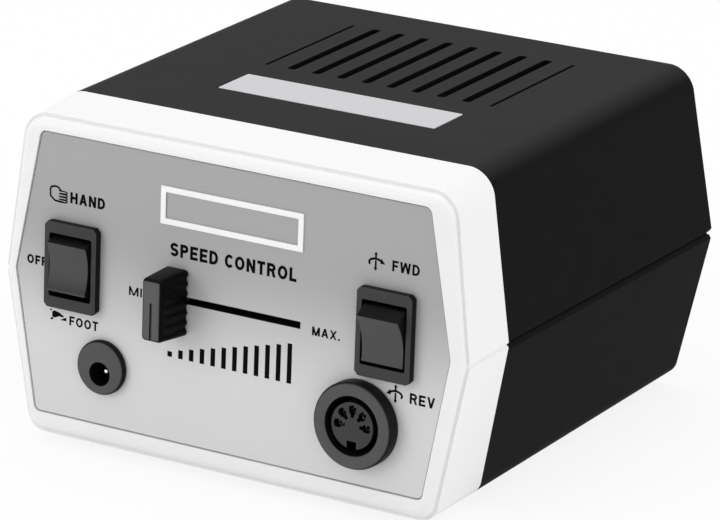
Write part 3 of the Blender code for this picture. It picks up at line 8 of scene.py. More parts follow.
import logging
import math
from collections.abc import Callable, Iterable, Sequence
from dataclasses import dataclass
from enum import Enum

import bmesh
import bpy
from mathutils import Matrix, Vector


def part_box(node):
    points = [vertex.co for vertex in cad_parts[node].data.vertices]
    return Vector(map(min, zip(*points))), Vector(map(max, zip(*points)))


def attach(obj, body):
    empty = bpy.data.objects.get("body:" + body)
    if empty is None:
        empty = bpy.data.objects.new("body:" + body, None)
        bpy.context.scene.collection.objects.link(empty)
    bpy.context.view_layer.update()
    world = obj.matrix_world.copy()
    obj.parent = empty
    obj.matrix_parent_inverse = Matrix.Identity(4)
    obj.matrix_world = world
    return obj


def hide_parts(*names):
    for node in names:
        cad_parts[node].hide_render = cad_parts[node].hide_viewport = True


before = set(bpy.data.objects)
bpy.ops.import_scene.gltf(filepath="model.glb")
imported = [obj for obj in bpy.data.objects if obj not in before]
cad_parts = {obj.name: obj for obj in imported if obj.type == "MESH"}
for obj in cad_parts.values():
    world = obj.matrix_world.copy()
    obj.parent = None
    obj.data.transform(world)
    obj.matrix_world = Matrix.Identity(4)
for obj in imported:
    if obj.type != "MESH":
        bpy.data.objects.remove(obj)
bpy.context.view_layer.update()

logging.basicConfig(level=logging.INFO, format="%(message)s")
log = logging.getLogger("control_box")

Vert, Edge, Face = bmesh.types.BMVert, bmesh.types.BMEdge, bmesh.types.BMFace
Piece = bpy.types.Object
Socket = bpy.types.NodeSocket
Point = tuple[float, float]
Triple = tuple[float, float, float]
Colour = Triple

MM = 0.001
SEAT_GAP = 0.3
OVERRUN = 2.0
SHARP = math.radians(32)
RAKE = math.radians(3.3)
PANEL_SETBACK = 20.0
WAIST = 39.8
QUARTER = math.pi / 2
LIE_DOWN = Matrix.Rotation(-QUARTER, 4, "X")

CASE_ORIGIN = Vector((0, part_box("upper_shell")[0].y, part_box("lower_shell")[0].z))
CASE = Matrix.Translation(CASE_ORIGIN) @ Matrix.Scale(MM, 4)
FRONT = (CASE @ Matrix.Translation((0, -PANEL_SETBACK, WAIST))) @ Matrix.Rotation(-RAKE, 4, "X")


class Body(Enum):
    """The bodies that pieces ride on."""

    CASE = "case"
    MODE_ROCKER = "mode_rocker"
    DIRECTION_ROCKER = "direction_rocker"
    SLIDER = "speed_slider"
    FUSE_CAP = "fuse_cap"


class Slot(Enum):
    """The record's material slots."""

    SHELL = "black_shell"
    BEZEL = "white_bezel"
    PANEL = "grey_panel"
    PLATE = "silver_plate"
    SWITCH = "switch_black"
    KNOB = "knob_black"
    RUBBER = "foot_rubber"
    BRASS = "contact_brass"
    PART = "part_black"


# Shaping


def box_corners(centre: Point, width: float, height: float) -> list[Point]:
    """Gives the corners of a rectangle about its middle, anticlockwise as seen from the front."""
    x, z = centre
    return [(x + i * width / 2, z + j * height / 2) for i, j in ((-1, -1), (1, -1), (1, 1), (-1, 1))]


def mirrored(right: list[Point]) -> list[Point]:
    """Completes the right half of an outline, from the foot up, with its mirror image."""
    return right + [(-x, z) for x, z in reversed(right)]


def is_sharp(edge: Edge) -> bool:
    """Whether an edge joins two faces at more than the sharp angle."""
    return len(edge.link_faces) == 2 and edge.calc_face_angle(0.0) > SHARP


def link(name: str, data: bpy.types.ID) -> Piece:
    """Puts data into the scene as an object.

    Args:
        name: The object's name.
        data: Its mesh, lamp or camera.

    Returns:
        The object.
    """
    made = bpy.data.objects.new(name, data)
    bpy.context.scene.collection.objects.link(made)
    return made


def shade(piece: Piece) -> None:
    """Shades a piece smooth between its sharp edges."""
    piece.data.shade_smooth()
    piece.data.set_sharp_from_angle(angle=SHARP)


class Shape:
    """A mesh in the making, in the millimetres of one frame. Most methods give the shape back."""

    def __init__(self, place: Matrix) -> None:
        """Starts an empty mesh in a frame."""
        self.place = place
        self.bm = bmesh.new()

    def outline(self, corners: Sequence[Point], depth: float = 0.0) -> Face:
        """Spans one face, which looks to the front, over corners (x, z) that run anticlockwise."""
        return self.bm.faces.new([self.bm.verts.new((x, depth, z)) for x, z in corners])

    def outward(self) -> "Shape":
        """Turns all faces outwards."""
        bmesh.ops.recalc_face_normals(self.bm, faces=self.bm.faces)
        return self

    def round_corners(self, verts: Iterable[Vert], radius: float, steps: int) -> Face:
        """Rounds corners of a flat outline.

        Args:
            verts: The corners to round, each on one face only.
            radius: The radius of every corner.
            steps: The number of edges in each arc.

        Returns:
            The outline's face.
        """
        for vert in list(verts):
            ends = [edge.other_vert(vert).co - vert.co for edge in vert.link_edges]
            reach = radius / math.tan(ends[0].angle(ends[1]) / 2)
            bmesh.ops.bevel(
                self.bm, geom=[vert], offset=reach, offset_type="OFFSET", segments=steps, profile=0.5,
                affect="VERTICES", clamp_overlap=False, material=-1,
            )
        return self.bm.faces[:][-1]

    def pull(self, faces: Sequence[Face], reach: float, axis: Triple = (0, 1, 0)) -> Face:
        """Extrudes faces.

        Args:
            faces: The faces to extrude.
            reach: How far they go.
            axis: Which way they go.

        Returns:
            The first face at the far end.
        """
        made = bmesh.ops.extrude_face_region(self.bm, geom=faces)["geom"]
        bmesh.ops.translate(self.bm, verts=[v for v in made if isinstance(v, Vert)], vec=Vector(axis) * reach)
        return next(f for f in made if isinstance(f, Face))

    def step_in(self, face: Face, width: float, rise: float = 0.0) -> None:
        """Insets a face, which stays the inner one, and lifts it along its own normal.

        Args:
            face: The face.
            width: How far its edges move in.
            rise: How far it is lifted.
        """
        self.bm.normal_update()
        bmesh.ops.inset_region(
            self.bm, faces=[face], thickness=width, depth=rise, use_even_offset=True, use_boundary=True)

    def ring(self, face: Face, width: float, reach: float) -> "Shape":
        """Makes a ring along a face's edge and takes the rest of the face away.

        Args:
            face: The only face of the mesh.
            width: The ring's width.
            reach: How thick it is, positive into the case.

        Returns:
            The shape.
        """
        self.step_in(face, width)
        bmesh.ops.delete(self.bm, geom=[face], context="FACES_ONLY")
        self.pull(self.bm.faces[:], reach)
        return self.outward()

    def absorb(self, part: "Shape", turn: Matrix | None = None) -> "Shape":
        """Takes over another shape's mesh, turned and moved if a matrix is given.

        Args:
            part: The other shape, which is freed.
            turn: Turns and moves it, if given.

        Returns:
            The shape.
        """
        if turn is not None:
            bmesh.ops.transform(part.bm, matrix=turn, verts=part.bm.verts)
        holder = bpy.data.meshes.new("holder")
        part.bm.to_mesh(holder)
        part.bm.free()
        self.bm.from_mesh(holder)
        bpy.data.meshes.remove(holder)
        return self

    def slab(
        self, corners: Sequence[Point], near: float, far: float, radius: float = 0.0, steps: int = 6,
        turn: Matrix | None = None,
    ) -> "Shape":
        """Adds a slab with an outline of any shape.

        Args:
            corners: The outline, as (x, z).
            near: Depth of its front face.
            far: Depth of its rear face.
            radius: Radius of all its corners, or 0 for sharp ones.
            steps: The number of edges in each corner.
            turn: Turns and moves the slab, if given.

        Returns:
            The shape.
        """
        part = Shape(self.place)
        face = part.outline(corners, near)
        if radius > 0:
            face = part.round_corners(part.bm.verts, radius, steps)
        part.pull([face], far - near)
        return self.absorb(part.outward(), turn)

    def flat_slab(
        self, corners: Sequence[Point], low: float, high: float, radius: float = 0.0, steps: int = 6
    ) -> "Shape":
        """Adds a slab that lies flat.

        Args:
            corners: The outline, as (x, y), as seen from above.
            low: Height of its underside.
            high: Height of its top.
            radius: Radius of all its corners, or 0 for sharp ones.
            steps: The number of edges in each corner.

        Returns:
            The shape.
        """
        return self.slab(corners, -high, -low, radius, steps, LIE_DOWN)

    def bar(self, start: Sequence[float], end: Sequence[float], radius: float, steps: int = 32) -> "Shape":
        """Adds a round bar.

        Args:
            start: The middle of one end.
            end: The middle of the other end.
            radius: Its radius.
            steps: The number of flats round it.

        Returns:
            The shape.
        """
        a, b = Vector(start), Vector(end)
        turn = Vector((0, 0, 1)).rotation_difference(b - a).to_matrix().to_4x4()
        bmesh.ops.create_cone(
            self.bm, cap_ends=True, segments=steps, radius1=radius, radius2=radius, depth=(b - a).length,
            matrix=Matrix.Translation((a + b) / 2) @ turn,
        )
        return self

    def drill(self, place: Point, near: float, far: float, radius: float, steps: int = 32) -> "Shape":
        """Adds a bar that runs into the case at (x, z), between two depths."""
        return self.bar((place[0], near, place[1]), (place[0], far, place[1]), radius, steps)

    def post(self, place: Point, low: float, high: float, radius: float, steps: int = 32) -> "Shape":
        """Adds an upright bar at (x, y), between two heights."""
        return self.bar((*place, low), (*place, high), radius, steps)

    def turned(
        self, profile: Sequence[Point], centre: Point = (0.0, 0.0), steps: int = 64, turn: Matrix | None = None
    ) -> "Shape":
        """Turns a profile round an axis that runs into the case.

        Args:
            profile: Places (radius, depth) of its corners. One that starts off the axis is closed into a ring.
            centre: The axis, as (x, z).
            steps: The number of steps round it.
            turn: Turns and moves the result, if given.

        Returns:
            The shape.
        """
        part = Shape(self.place)
        x, z = centre
        verts = [part.bm.verts.new((x + radius, depth, z)) for radius, depth in profile]
        pairs = list(zip(verts, verts[1:]))
        if profile[0][0] > 0:
            pairs.append((verts[-1], verts[0]))
        edges = [part.bm.edges.new(pair) for pair in pairs]
        bmesh.ops.spin(
            part.bm, geom=verts + edges, cent=(x, 0, z), axis=(0, 1, 0), angle=math.tau, steps=steps, use_merge=True)
        bmesh.ops.remove_doubles(part.bm, verts=part.bm.verts, dist=MM)
        return self.absorb(part.outward(), turn)

    def soften(self, chosen: Callable[[Edge], bool], width: float, steps: int) -> "Shape":
        """Rounds the edges that a test picks.

        Args:
            chosen: Says whether an edge is rounded.
            width: The width of the rounding on each face.
            steps: The number of faces across it.

        Returns:
            The shape.
        """
        bmesh.ops.bevel(
            self.bm, geom=[e for e in self.bm.edges if chosen(e)], offset=width, segments=steps, profile=0.5,
            affect="EDGES", material=-1, clamp_overlap=True,
        )
        return self

    def finished(self, name: str) -> bpy.types.Mesh:
        """Moves the mesh to its place, hands it over and frees the shape.

        Args:
            name: The mesh's name.

        Returns:
            The mesh.
        """
        bmesh.ops.transform(self.bm, matrix=self.place, verts=self.bm.verts)
        mesh = bpy.data.meshes.new(name)
        self.bm.to_mesh(mesh)
        self.bm.free()
        return mesh

    def piece(self, name: str, finish: "Finish", edge: float = 0.0, steps: int = 2) -> Piece:
        """Turns the shape into a piece.

        Args:
            name: The piece's name.
            finish: What it is made of.
            edge: Width of the small rounding that finishes its sharp edges, or 0 for none.
            steps: The number of faces across that rounding.

        Returns:
            The piece, with its place in its mesh.
        """
        mesh = self.finished(name)
        mesh.materials.append(finish.material)
        piece = link(name, mesh)
        shade(piece)
        if edge > 0:
            rounding = piece.modifiers.new("edges", "BEVEL")
            rounding.width = edge * MM
            rounding.segments = steps
            rounding.limit_method = "ANGLE"
            rounding.angle_limit = SHARP
            rounding.harden_normals = True
        return piece

    def cut(self, piece: Piece, operation: str = "DIFFERENCE") -> None:
        """Cuts the shape out of a piece, whose mesh is replaced, or joins it on.

        Args:
            piece: The piece.
            operation: DIFFERENCE or UNION.
        """
        mesh = self.finished("tool")
        helper = link("tool", mesh)
        for modifier in piece.modifiers:
            modifier.show_viewport = False
        step = piece.modifiers.new("work", "BOOLEAN")
        step.object, step.operation, step.solver = helper, operation, "EXACT"
        bpy.context.view_layer.update()
        result = bpy.data.meshes.new_from_object(piece.evaluated_get(bpy.context.evaluated_depsgraph_get()))
        piece.modifiers.remove(step)
        for modifier in piece.modifiers:
            modifier.show_viewport = True
        old, piece.data = piece.data, result
        result.name = piece.name
        bpy.data.meshes.remove(old)
        bpy.data.objects.remove(helper)
        bpy.data.meshes.remove(mesh)
        shade(piece)

    def join(self, piece: Piece) -> None:
        """Joins the shape to a piece."""
        self.cut(piece, "UNION")


def mount(piece: Piece, body: Body, slot: Slot, *nodes: str) -> None:
    """Ties a finished piece to its body and hides the nodes that it stands for.

    Args:
        piece: The finished piece.
        body: What it moves with.
        slot: Not used.
        nodes: The nodes that it replaces, if any.
    """
    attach(piece, body.value)
    if nodes:
        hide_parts(*nodes)
    log.info("%s rides on %s and replaces %s", piece.name, body.value, ", ".join(nodes) or "nothing")


# Finishes


def add_node(
    tree: bpy.types.NodeTree, kind: str, inputs: dict[str | int, float | tuple | Socket], **settings: object
) -> bpy.types.Node:
    """Adds a shader node.

    Args:
        tree: The nodes to add to.
        kind: What comes after ShaderNode in its type.
        inputs: A value, or a source to link, for each input that is used.
        settings: Its settings outside the inputs.

    Returns:
        The node.
    """
    node = tree.nodes.new("ShaderNode" + kind)
    for name, value in settings.items():
        setattr(node, name, value)
    for name, value in inputs.items():
        if isinstance(value, Socket):
            tree.links.new(value, node.inputs[name])
        else:
            node.inputs[name].default_value = value
    return node


class Bench:
    """Lays out the nodes of one material."""

    middling: Point = (0.3, 0.7)

    def __init__(self, name: str, roughness: float, metallic: float = 0.0, specular: float = 0.5) -> None:
        """Starts a material with its constant values.

        Args:
            name: The material's name.
            roughness: How rough it is, until a pattern is tied to it.
            metallic: Whether it is a metal.
            specular: How strongly it mirrors.
        """
        self.material = bpy.data.materials.new(name)
        self.material.use_nodes = True
        self.tree = self.material.node_tree
        self.shader = self.tree.nodes["Principled BSDF"]
        self.roughness = roughness
        for socket, value in (("Roughness", roughness), ("Metallic", metallic), ("Specular IOR Level", specular)):
            self.shader.inputs[socket].default_value = value
        self.place = add_node(self.tree, "TexCoord", {}).outputs["Object"]

    def tie(self, source: Socket, name: str) -> None:
        """Ties a pattern to one of the shader's sockets."""
        self.tree.links.new(source, self.shader.inputs[name])

    def noise(self, size: float, detail: float = 2.0, stretch: Triple = (1, 1, 1)) -> Socket:
        """Adds a noise pattern.

        Args:
            size: The size of its spots, in millimetres.
            detail: How much finer detail it has.
            stretch: By how much the pattern is finer along each axis.

        Returns:
            The pattern, from 0 to 1.
        """
        mapping = add_node(self.tree, "Mapping", {"Vector": self.place, "Scale": stretch})
        spots = {"Vector": mapping.outputs["Vector"], "Scale": 1 / (size * MM), "Detail": detail}
        return add_node(self.tree, "TexNoise", spots).outputs["Fac"]

    def along(self, axis: str) -> Socket:
        """Gives one coordinate of the surface, in metres."""
        return add_node(self.tree, "SeparateXYZ", {0: self.place}).outputs[axis]

    def spread(self, source: Socket, start: Point, end: Point, smooth: bool = False) -> Socket:
        """Maps one range of values to another.

        Args:
            source: The values.
            start: The range that they come from.
            end: The range that they go to.
            smooth: Whether the change eases in and out.

        Returns:
            The mapped values.
        """
        limits = dict(zip(("From Min", "From Max", "To Min", "To Max"), (*start, *end)))
        easing = "SMOOTHSTEP" if smooth else "LINEAR"
        return add_node(self.tree, "MapRange", {"Value": source, **limits}, interpolation_type=easing).outputs["Result"]

    def facing(self, toward: Triple, span: Point) -> Socket:
        """Tells faces that look one way from the others.

        Args:
            toward: The direction that the faces look in, on the resting piece.
            span: How far the normal lies along it where the change starts and ends.

        Returns:
            0 to 1, from the other faces to those.
        """
        normal = add_node(self.tree, "TexCoord", {}).outputs["Normal"]
        dot = add_node(self.tree, "VectorMath", {0: normal, 1: toward}, operation="DOT_PRODUCT")
        return self.spread(dot.outputs["Value"], span, (0, 1), smooth=True)

    def waves(self, pitch: float, axis: str) -> Socket:
        """Adds even bands across one axis, a given number of millimetres apart."""
        bands = {"Vector": self.place, "Scale": math.pi / 10 / (pitch * MM), "Distortion": 0.0}
        return add_node(self.tree, "TexWave", bands, bands_direction=axis, wave_profile="SIN").outputs["Fac"]

    def mix(self, share: Socket, first: Colour | Socket, second: Colour | Socket) -> Socket:
        """Mixes two colours, or patterns of colours, by a pattern."""
        colours = [(*c, 1.0) if isinstance(c, tuple) else c for c in (first, second)]
        return add_node(self.tree, "Mix", {0: share, 6: colours[0], 7: colours[1]}, data_type="RGBA").outputs[2]

    def vary(self, pattern: Socket, colour: Colour, variation: float) -> Socket:
        """Varies a colour a little with a pattern."""
        darker, lighter = (tuple(c * level for c in colour) for level in (1 - variation, 1 + variation))
        return self.mix(pattern, darker, lighter)

    def wear(self, pattern: Socket, unevenness: float) -> None:
        """Makes the surface rougher and smoother with a pattern, by an amount either way."""
        span = (self.roughness - unevenness, self.roughness + unevenness)
        self.tie(self.spread(pattern, self.middling, span), "Roughness")

    def relief(self, height: Socket, depth: float) -> None:
        """Raises the surface by a pattern, up to a depth in millimetres."""
        bump = add_node(self.tree, "Bump", {"Height": height, "Distance": depth * MM, "Strength": 1.0})
        self.tie(bump.outputs["Normal"], "Normal")


@dataclass(frozen=True)
class MouldedPlastic:
    """Plastic from a mould with a fine eroded grain, with a paler colour painted on the faces that look toward a lamp
    as painted sheen.
    """

    name: str
    colour: Colour
    roughness: float
    grain: float = 0.35
    depth: float = 0.012
    variation: float = 0.06
    specular: float = 0.5
    pale: Colour | None = None
    toward: Triple = (0.0, -1.0, 0.0)
    span: Point = (0.55, 0.95)
    unevenness: float = 0.04
    cloud: float = 9.0

    def build(self) -> bpy.types.Material:
        """Makes the material.

        Returns:
            The material.
        """
        bench = Bench(self.name, self.roughness, specular=self.specular)
        grain, cloud = (bench.noise(size, 3.0) for size in (self.grain, self.cloud))
        colour = bench.vary(cloud, self.colour, self.variation)
        # Faces that look along toward get the pale colour: painted sheen where a lamp's light falls on them.
        if self.pale is not None:
            painted_sheen = bench.vary(cloud, self.pale, self.variation)
            colour = bench.mix(bench.facing(self.toward, self.span), colour, painted_sheen)
        bench.tie(colour, "Base Color")
        bench.wear(cloud, self.unevenness)
        bench.relief(grain, self.depth)
        return bench.material


@dataclass(frozen=True)
class PrintedFoil:
    """The panel's printed foil, whose grey grows lighter towards its foot."""

    name: str
    upper: Colour
    lower: Colour
    fade_top: float
    fade_foot: float
    roughness: float = 0.42
    flake: float = 0.16

    def build(self) -> bpy.types.Material:
        """Makes the material.

        Returns:
            The material.
        """
        bench = Bench(self.name, self.roughness, specular=0.3)
        height = bench.spread(bench.along("Z"), (self.fade_foot * MM, self.fade_top * MM), (0, 1), smooth=True)
        bench.tie(bench.mix(height, self.lower, self.upper), "Base Color")
        flakes = bench.noise(self.flake)
        bench.wear(flakes, 0.05)
        bench.relief(flakes, 0.002)
        return bench.material


@dataclass(frozen=True)
class BrushedMetal:
    """A metal with fine lines along one axis."""

    name: str
    colour: Colour
    roughness: float
    stretch: Triple = (1.0, 0.15, 1.0)
    line: float = 0.12
    metallic: float = 1.0
    depth: float = 0.003
    variation: float = 0.10

    def build(self) -> bpy.types.Material:
        """Makes the material.

        Returns:
            The material.
        """
        bench = Bench(self.name, self.roughness, metallic=self.metallic)
        lines = bench.noise(self.line, 4.0, self.stretch)
        bench.tie(bench.vary(lines, self.colour, self.variation), "Base Color")
        bench.wear(lines, 0.08)
        bench.relief(lines, self.depth)
        return bench.material


@dataclass(frozen=True)
class BandedFinish:
    """A surface of even bands: stacked steel sheets or wound wire."""

    name: str
    light: Colour
    dark: Colour
    pitch: float
    axis: str
    roughness: float
    metallic: float
    depth: float

    def build(self) -> bpy.types.Material:
        """Makes the material.

        Returns:
            The material.
        """
        bench = Bench(self.name, self.roughness, metallic=self.metallic)
        bands = bench.waves(self.pitch, self.axis)
        bench.tie(bench.mix(bands, self.dark, self.light), "Base Color")
        bench.wear(bench.noise(1.5, 3.0), 0.1)
        bench.relief(bands, self.depth)
        return bench.material


@dataclass(frozen=True)
class FineFinish:
    """Ink or glass: one colour with a fine pattern in it."""

    name: str
    colour: Colour
    roughness: float
    size: float = 0.12
    stretch: Triple = (1, 1, 1)
    variation: float = 0.08
    specular: float = 0.03
    transmission: float = 0.0
    refraction: float = 1.5

    def build(self) -> bpy.types.Material:
        """Makes the material.

        Returns:
            The material.
        """
        bench = Bench(self.name, self.roughness, specular=self.specular)
        if self.transmission > 0:
            bench.shader.inputs["Transmission Weight"].default_value = self.transmission
            bench.shader.inputs["IOR"].default_value = self.refraction
        pattern = bench.noise(self.size, 2.0, self.stretch)
        bench.tie(bench.vary(pattern, self.colour, self.variation), "Base Color")
        bench.relief(pattern, 0.002)
        return bench.material


SOFT_BLACK = (0.006, 0.006, 0.0062)


class Finish(Enum):
    """Every finish on the box, made at its first use."""

    # The pale colour on upward faces is painted sheen from the overhead lamp, which makes the top lighter than the
    # sides.
    SHELL = MouldedPlastic(
        "shell_plastic", (0.0038, 0.0038, 0.0039), 0.66, grain=0.32, depth=0.010, variation=0.03, specular=0.045,
        pale=(0.021, 0.021, 0.0213), toward=(0.0, 0.0, 1.0), span=(0.5, 1.0), unevenness=0.015)
    BEZEL = MouldedPlastic(
        "bezel_plastic", (0.87, 0.87, 0.87), 0.42, grain=0.5, depth=0.004, variation=0.006, specular=0.35)
    FOIL = PrintedFoil("panel_foil", (0.39, 0.39, 0.39), (0.675, 0.675, 0.675), fade_top=60.0, fade_foot=24.0)
    PLATE = BrushedMetal(
        "plate_metal", (0.56, 0.56, 0.58), 0.46, stretch=(0.05, 1.0, 1.0), line=0.14, metallic=0.3)
    # The pale colour on front faces is a painted highlight from the front lamp.
    SWITCH = MouldedPlastic(
        "switch_plastic", SOFT_BLACK, 0.45, grain=0.28, depth=0.006, variation=0.05, specular=0.08,
        pale=(0.052, 0.052, 0.053))
    # The pale colour on front faces is a painted highlight from the front lamp.
    SOCKET = MouldedPlastic(
        "socket_plastic", SOFT_BLACK, 0.38, grain=0.28, depth=0.006, variation=0.05, specular=0.08,
        pale=(0.088, 0.088, 0.090), span=(0.75, 1.0))
    # The pale colour on faces that look forward and down is a painted highlight from the front lamp.
    ROCKER = MouldedPlastic(
        "rocker_plastic", SOFT_BLACK, 0.42, grain=0.5, depth=0.003, variation=0.05, specular=0.06,
        pale=(0.078, 0.078, 0.080), toward=(0.0, -0.97, -0.25), span=(0.60, 0.95))
    # The pale colour on front faces is a painted highlight from the front lamp.
    KNOB = MouldedPlastic(
        "knob_plastic", (0.002, 0.002, 0.0021), 0.30, grain=0.4, depth=0.003, specular=0.05,
        pale=(0.108, 0.108, 0.110), span=(0.82, 0.998))
    DARK = MouldedPlastic("dark_plastic", (0.022, 0.022, 0.023), 0.40, grain=0.3, depth=0.006, specular=0.3)
    # Near-black for the sleeve in the slider's slot: painted shade for the slot's dark inside.
    SHADE_BLACK = MouldedPlastic("painted_shade_black", (0.006, 0.006, 0.006), 0.8, grain=0.3, depth=0.004, specular=0.05)
    RUBBER = MouldedPlastic(
        "foot_rubber", (0.022, 0.022, 0.022), 0.85, grain=0.5, depth=0.02, variation=0.12, specular=0.2)
    BOBBIN = MouldedPlastic("bobbin_plastic", (0.62, 0.58, 0.46), 0.55, grain=0.4, depth=0.01, variation=0.05)
    BOARD = MouldedPlastic("board_lacquer", (0.03, 0.16, 0.07), 0.35, grain=1.2, depth=0.02, variation=0.25)
    SLEEVE = MouldedPlastic("capacitor_sleeve", (0.02, 0.022, 0.03), 0.35, grain=0.8, depth=0.006, variation=0.1)
    STEEL = BrushedMetal("screw_steel", (0.55, 0.55, 0.56), 0.35, stretch=(1.0, 1.0, 0.2), line=0.2)
    BRASS = BrushedMetal("contact_brass", (0.80, 0.62, 0.32), 0.28, line=0.15)
    BRIGHT = BrushedMetal("bright_contact", (0.86, 0.85, 0.82), 0.16, line=0.15)
    # Dark contact metal: painted shade that makes the contacts deep in the socket's holes look black.
    SHADED_CONTACT = BrushedMetal("shaded_contact", (0.20, 0.19, 0.18), 0.30, line=0.15)
    ALUMINIUM = BrushedMetal("sink_aluminium", (0.66, 0.67, 0.69), 0.40, stretch=(1.0, 1.0, 0.06), line=0.2)
    CORE = BandedFinish(
        "core_sheets", (0.30, 0.30, 0.32), (0.12, 0.12, 0.13), pitch=0.7, axis="Y", roughness=0.5, metallic=0.9,
        depth=0.05)
    WINDING = BandedFinish(
        "copper_wire", (0.62, 0.27, 0.10), (0.25, 0.09, 0.03), pitch=0.5, axis="Z", roughness=0.35, metallic=0.7,
        depth=0.12)
    GLASS = FineFinish(
        "fuse_glass", (0.92, 0.94, 0.95), 0.06, size=0.6, stretch=(1, 0.1, 1), variation=0.03, specular=0.5,
        transmission=0.9)
    BLACK_INK = FineFinish("black_ink", (0.003, 0.003, 0.003), 0.7)
    WHITE_INK = FineFinish("white_ink", (0.93, 0.93, 0.93), 0.4)

    @property
    def material(self) -> bpy.types.Material:
        """The finish's material.

        Returns:
            The material, made once.
        """
        name = self.value.name + "_finish"
        if name not in bpy.data.materials:
            self.value.build().name = name
        return bpy.data.materials[name]


# Casing


@dataclass(frozen=True)
class CaseForm:
    """The six-sided form that the shells, the bezel and the back plate share."""

    half_top: float = 60.4
    half_waist: float = 65.6
    half_waist_rear: float = 67.4
    half_base: float = 57.8
    height: float = 81.8
    depth: float = 97.5
    top_radius: float = 7.0
    top_steps: int = 12
    base_radius: float = 4.8
    base_steps: int = 10
    wall: float = 2.4

    @property
    def lining(self) -> float:
        """How far a piece that fits inside the wall lies from the case's outside."""
        return self.wall + SEAT_GAP

    def lay(self, shape: Shape, y: float, inset: float = 0.0) -> Face:
        """Lays the rounded outline down as one face.

        Args:
            shape: The empty shape to add to.
            y: Its depth.
            inset: How far it lies inside the case's outside.

        Returns:
            The face.
        """
        bm = shape.bm
        corners = mirrored([(self.half_base, 0.0), (self.half_waist, WAIST), (self.half_top, self.height)])
        face = shape.outline(corners, y)
        if inset > 0:
            shape.step_in(face, inset)
            rim = [f for f in bm.faces if f is not face and f.calc_center_median().y == y]
            bmesh.ops.delete(bm, geom=rim, context="FACES")
            bmesh.ops.delete(bm, geom=[e for e in bm.edges if not e.link_faces], context="EDGES")
            bmesh.ops.delete(bm, geom=[v for v in bm.verts if not v.link_edges], context="VERTS")
        tops = [v for v in face.verts if v.co.z > (self.height + WAIST) / 2]
        face = shape.round_corners(tops, max(self.top_radius - inset, SEAT_GAP), self.top_steps)
        feet = [v for v in face.verts if v.co.z < WAIST / 2]
        return shape.round_corners(feet, max(self.base_radius - inset, SEAT_GAP), self.base_steps)


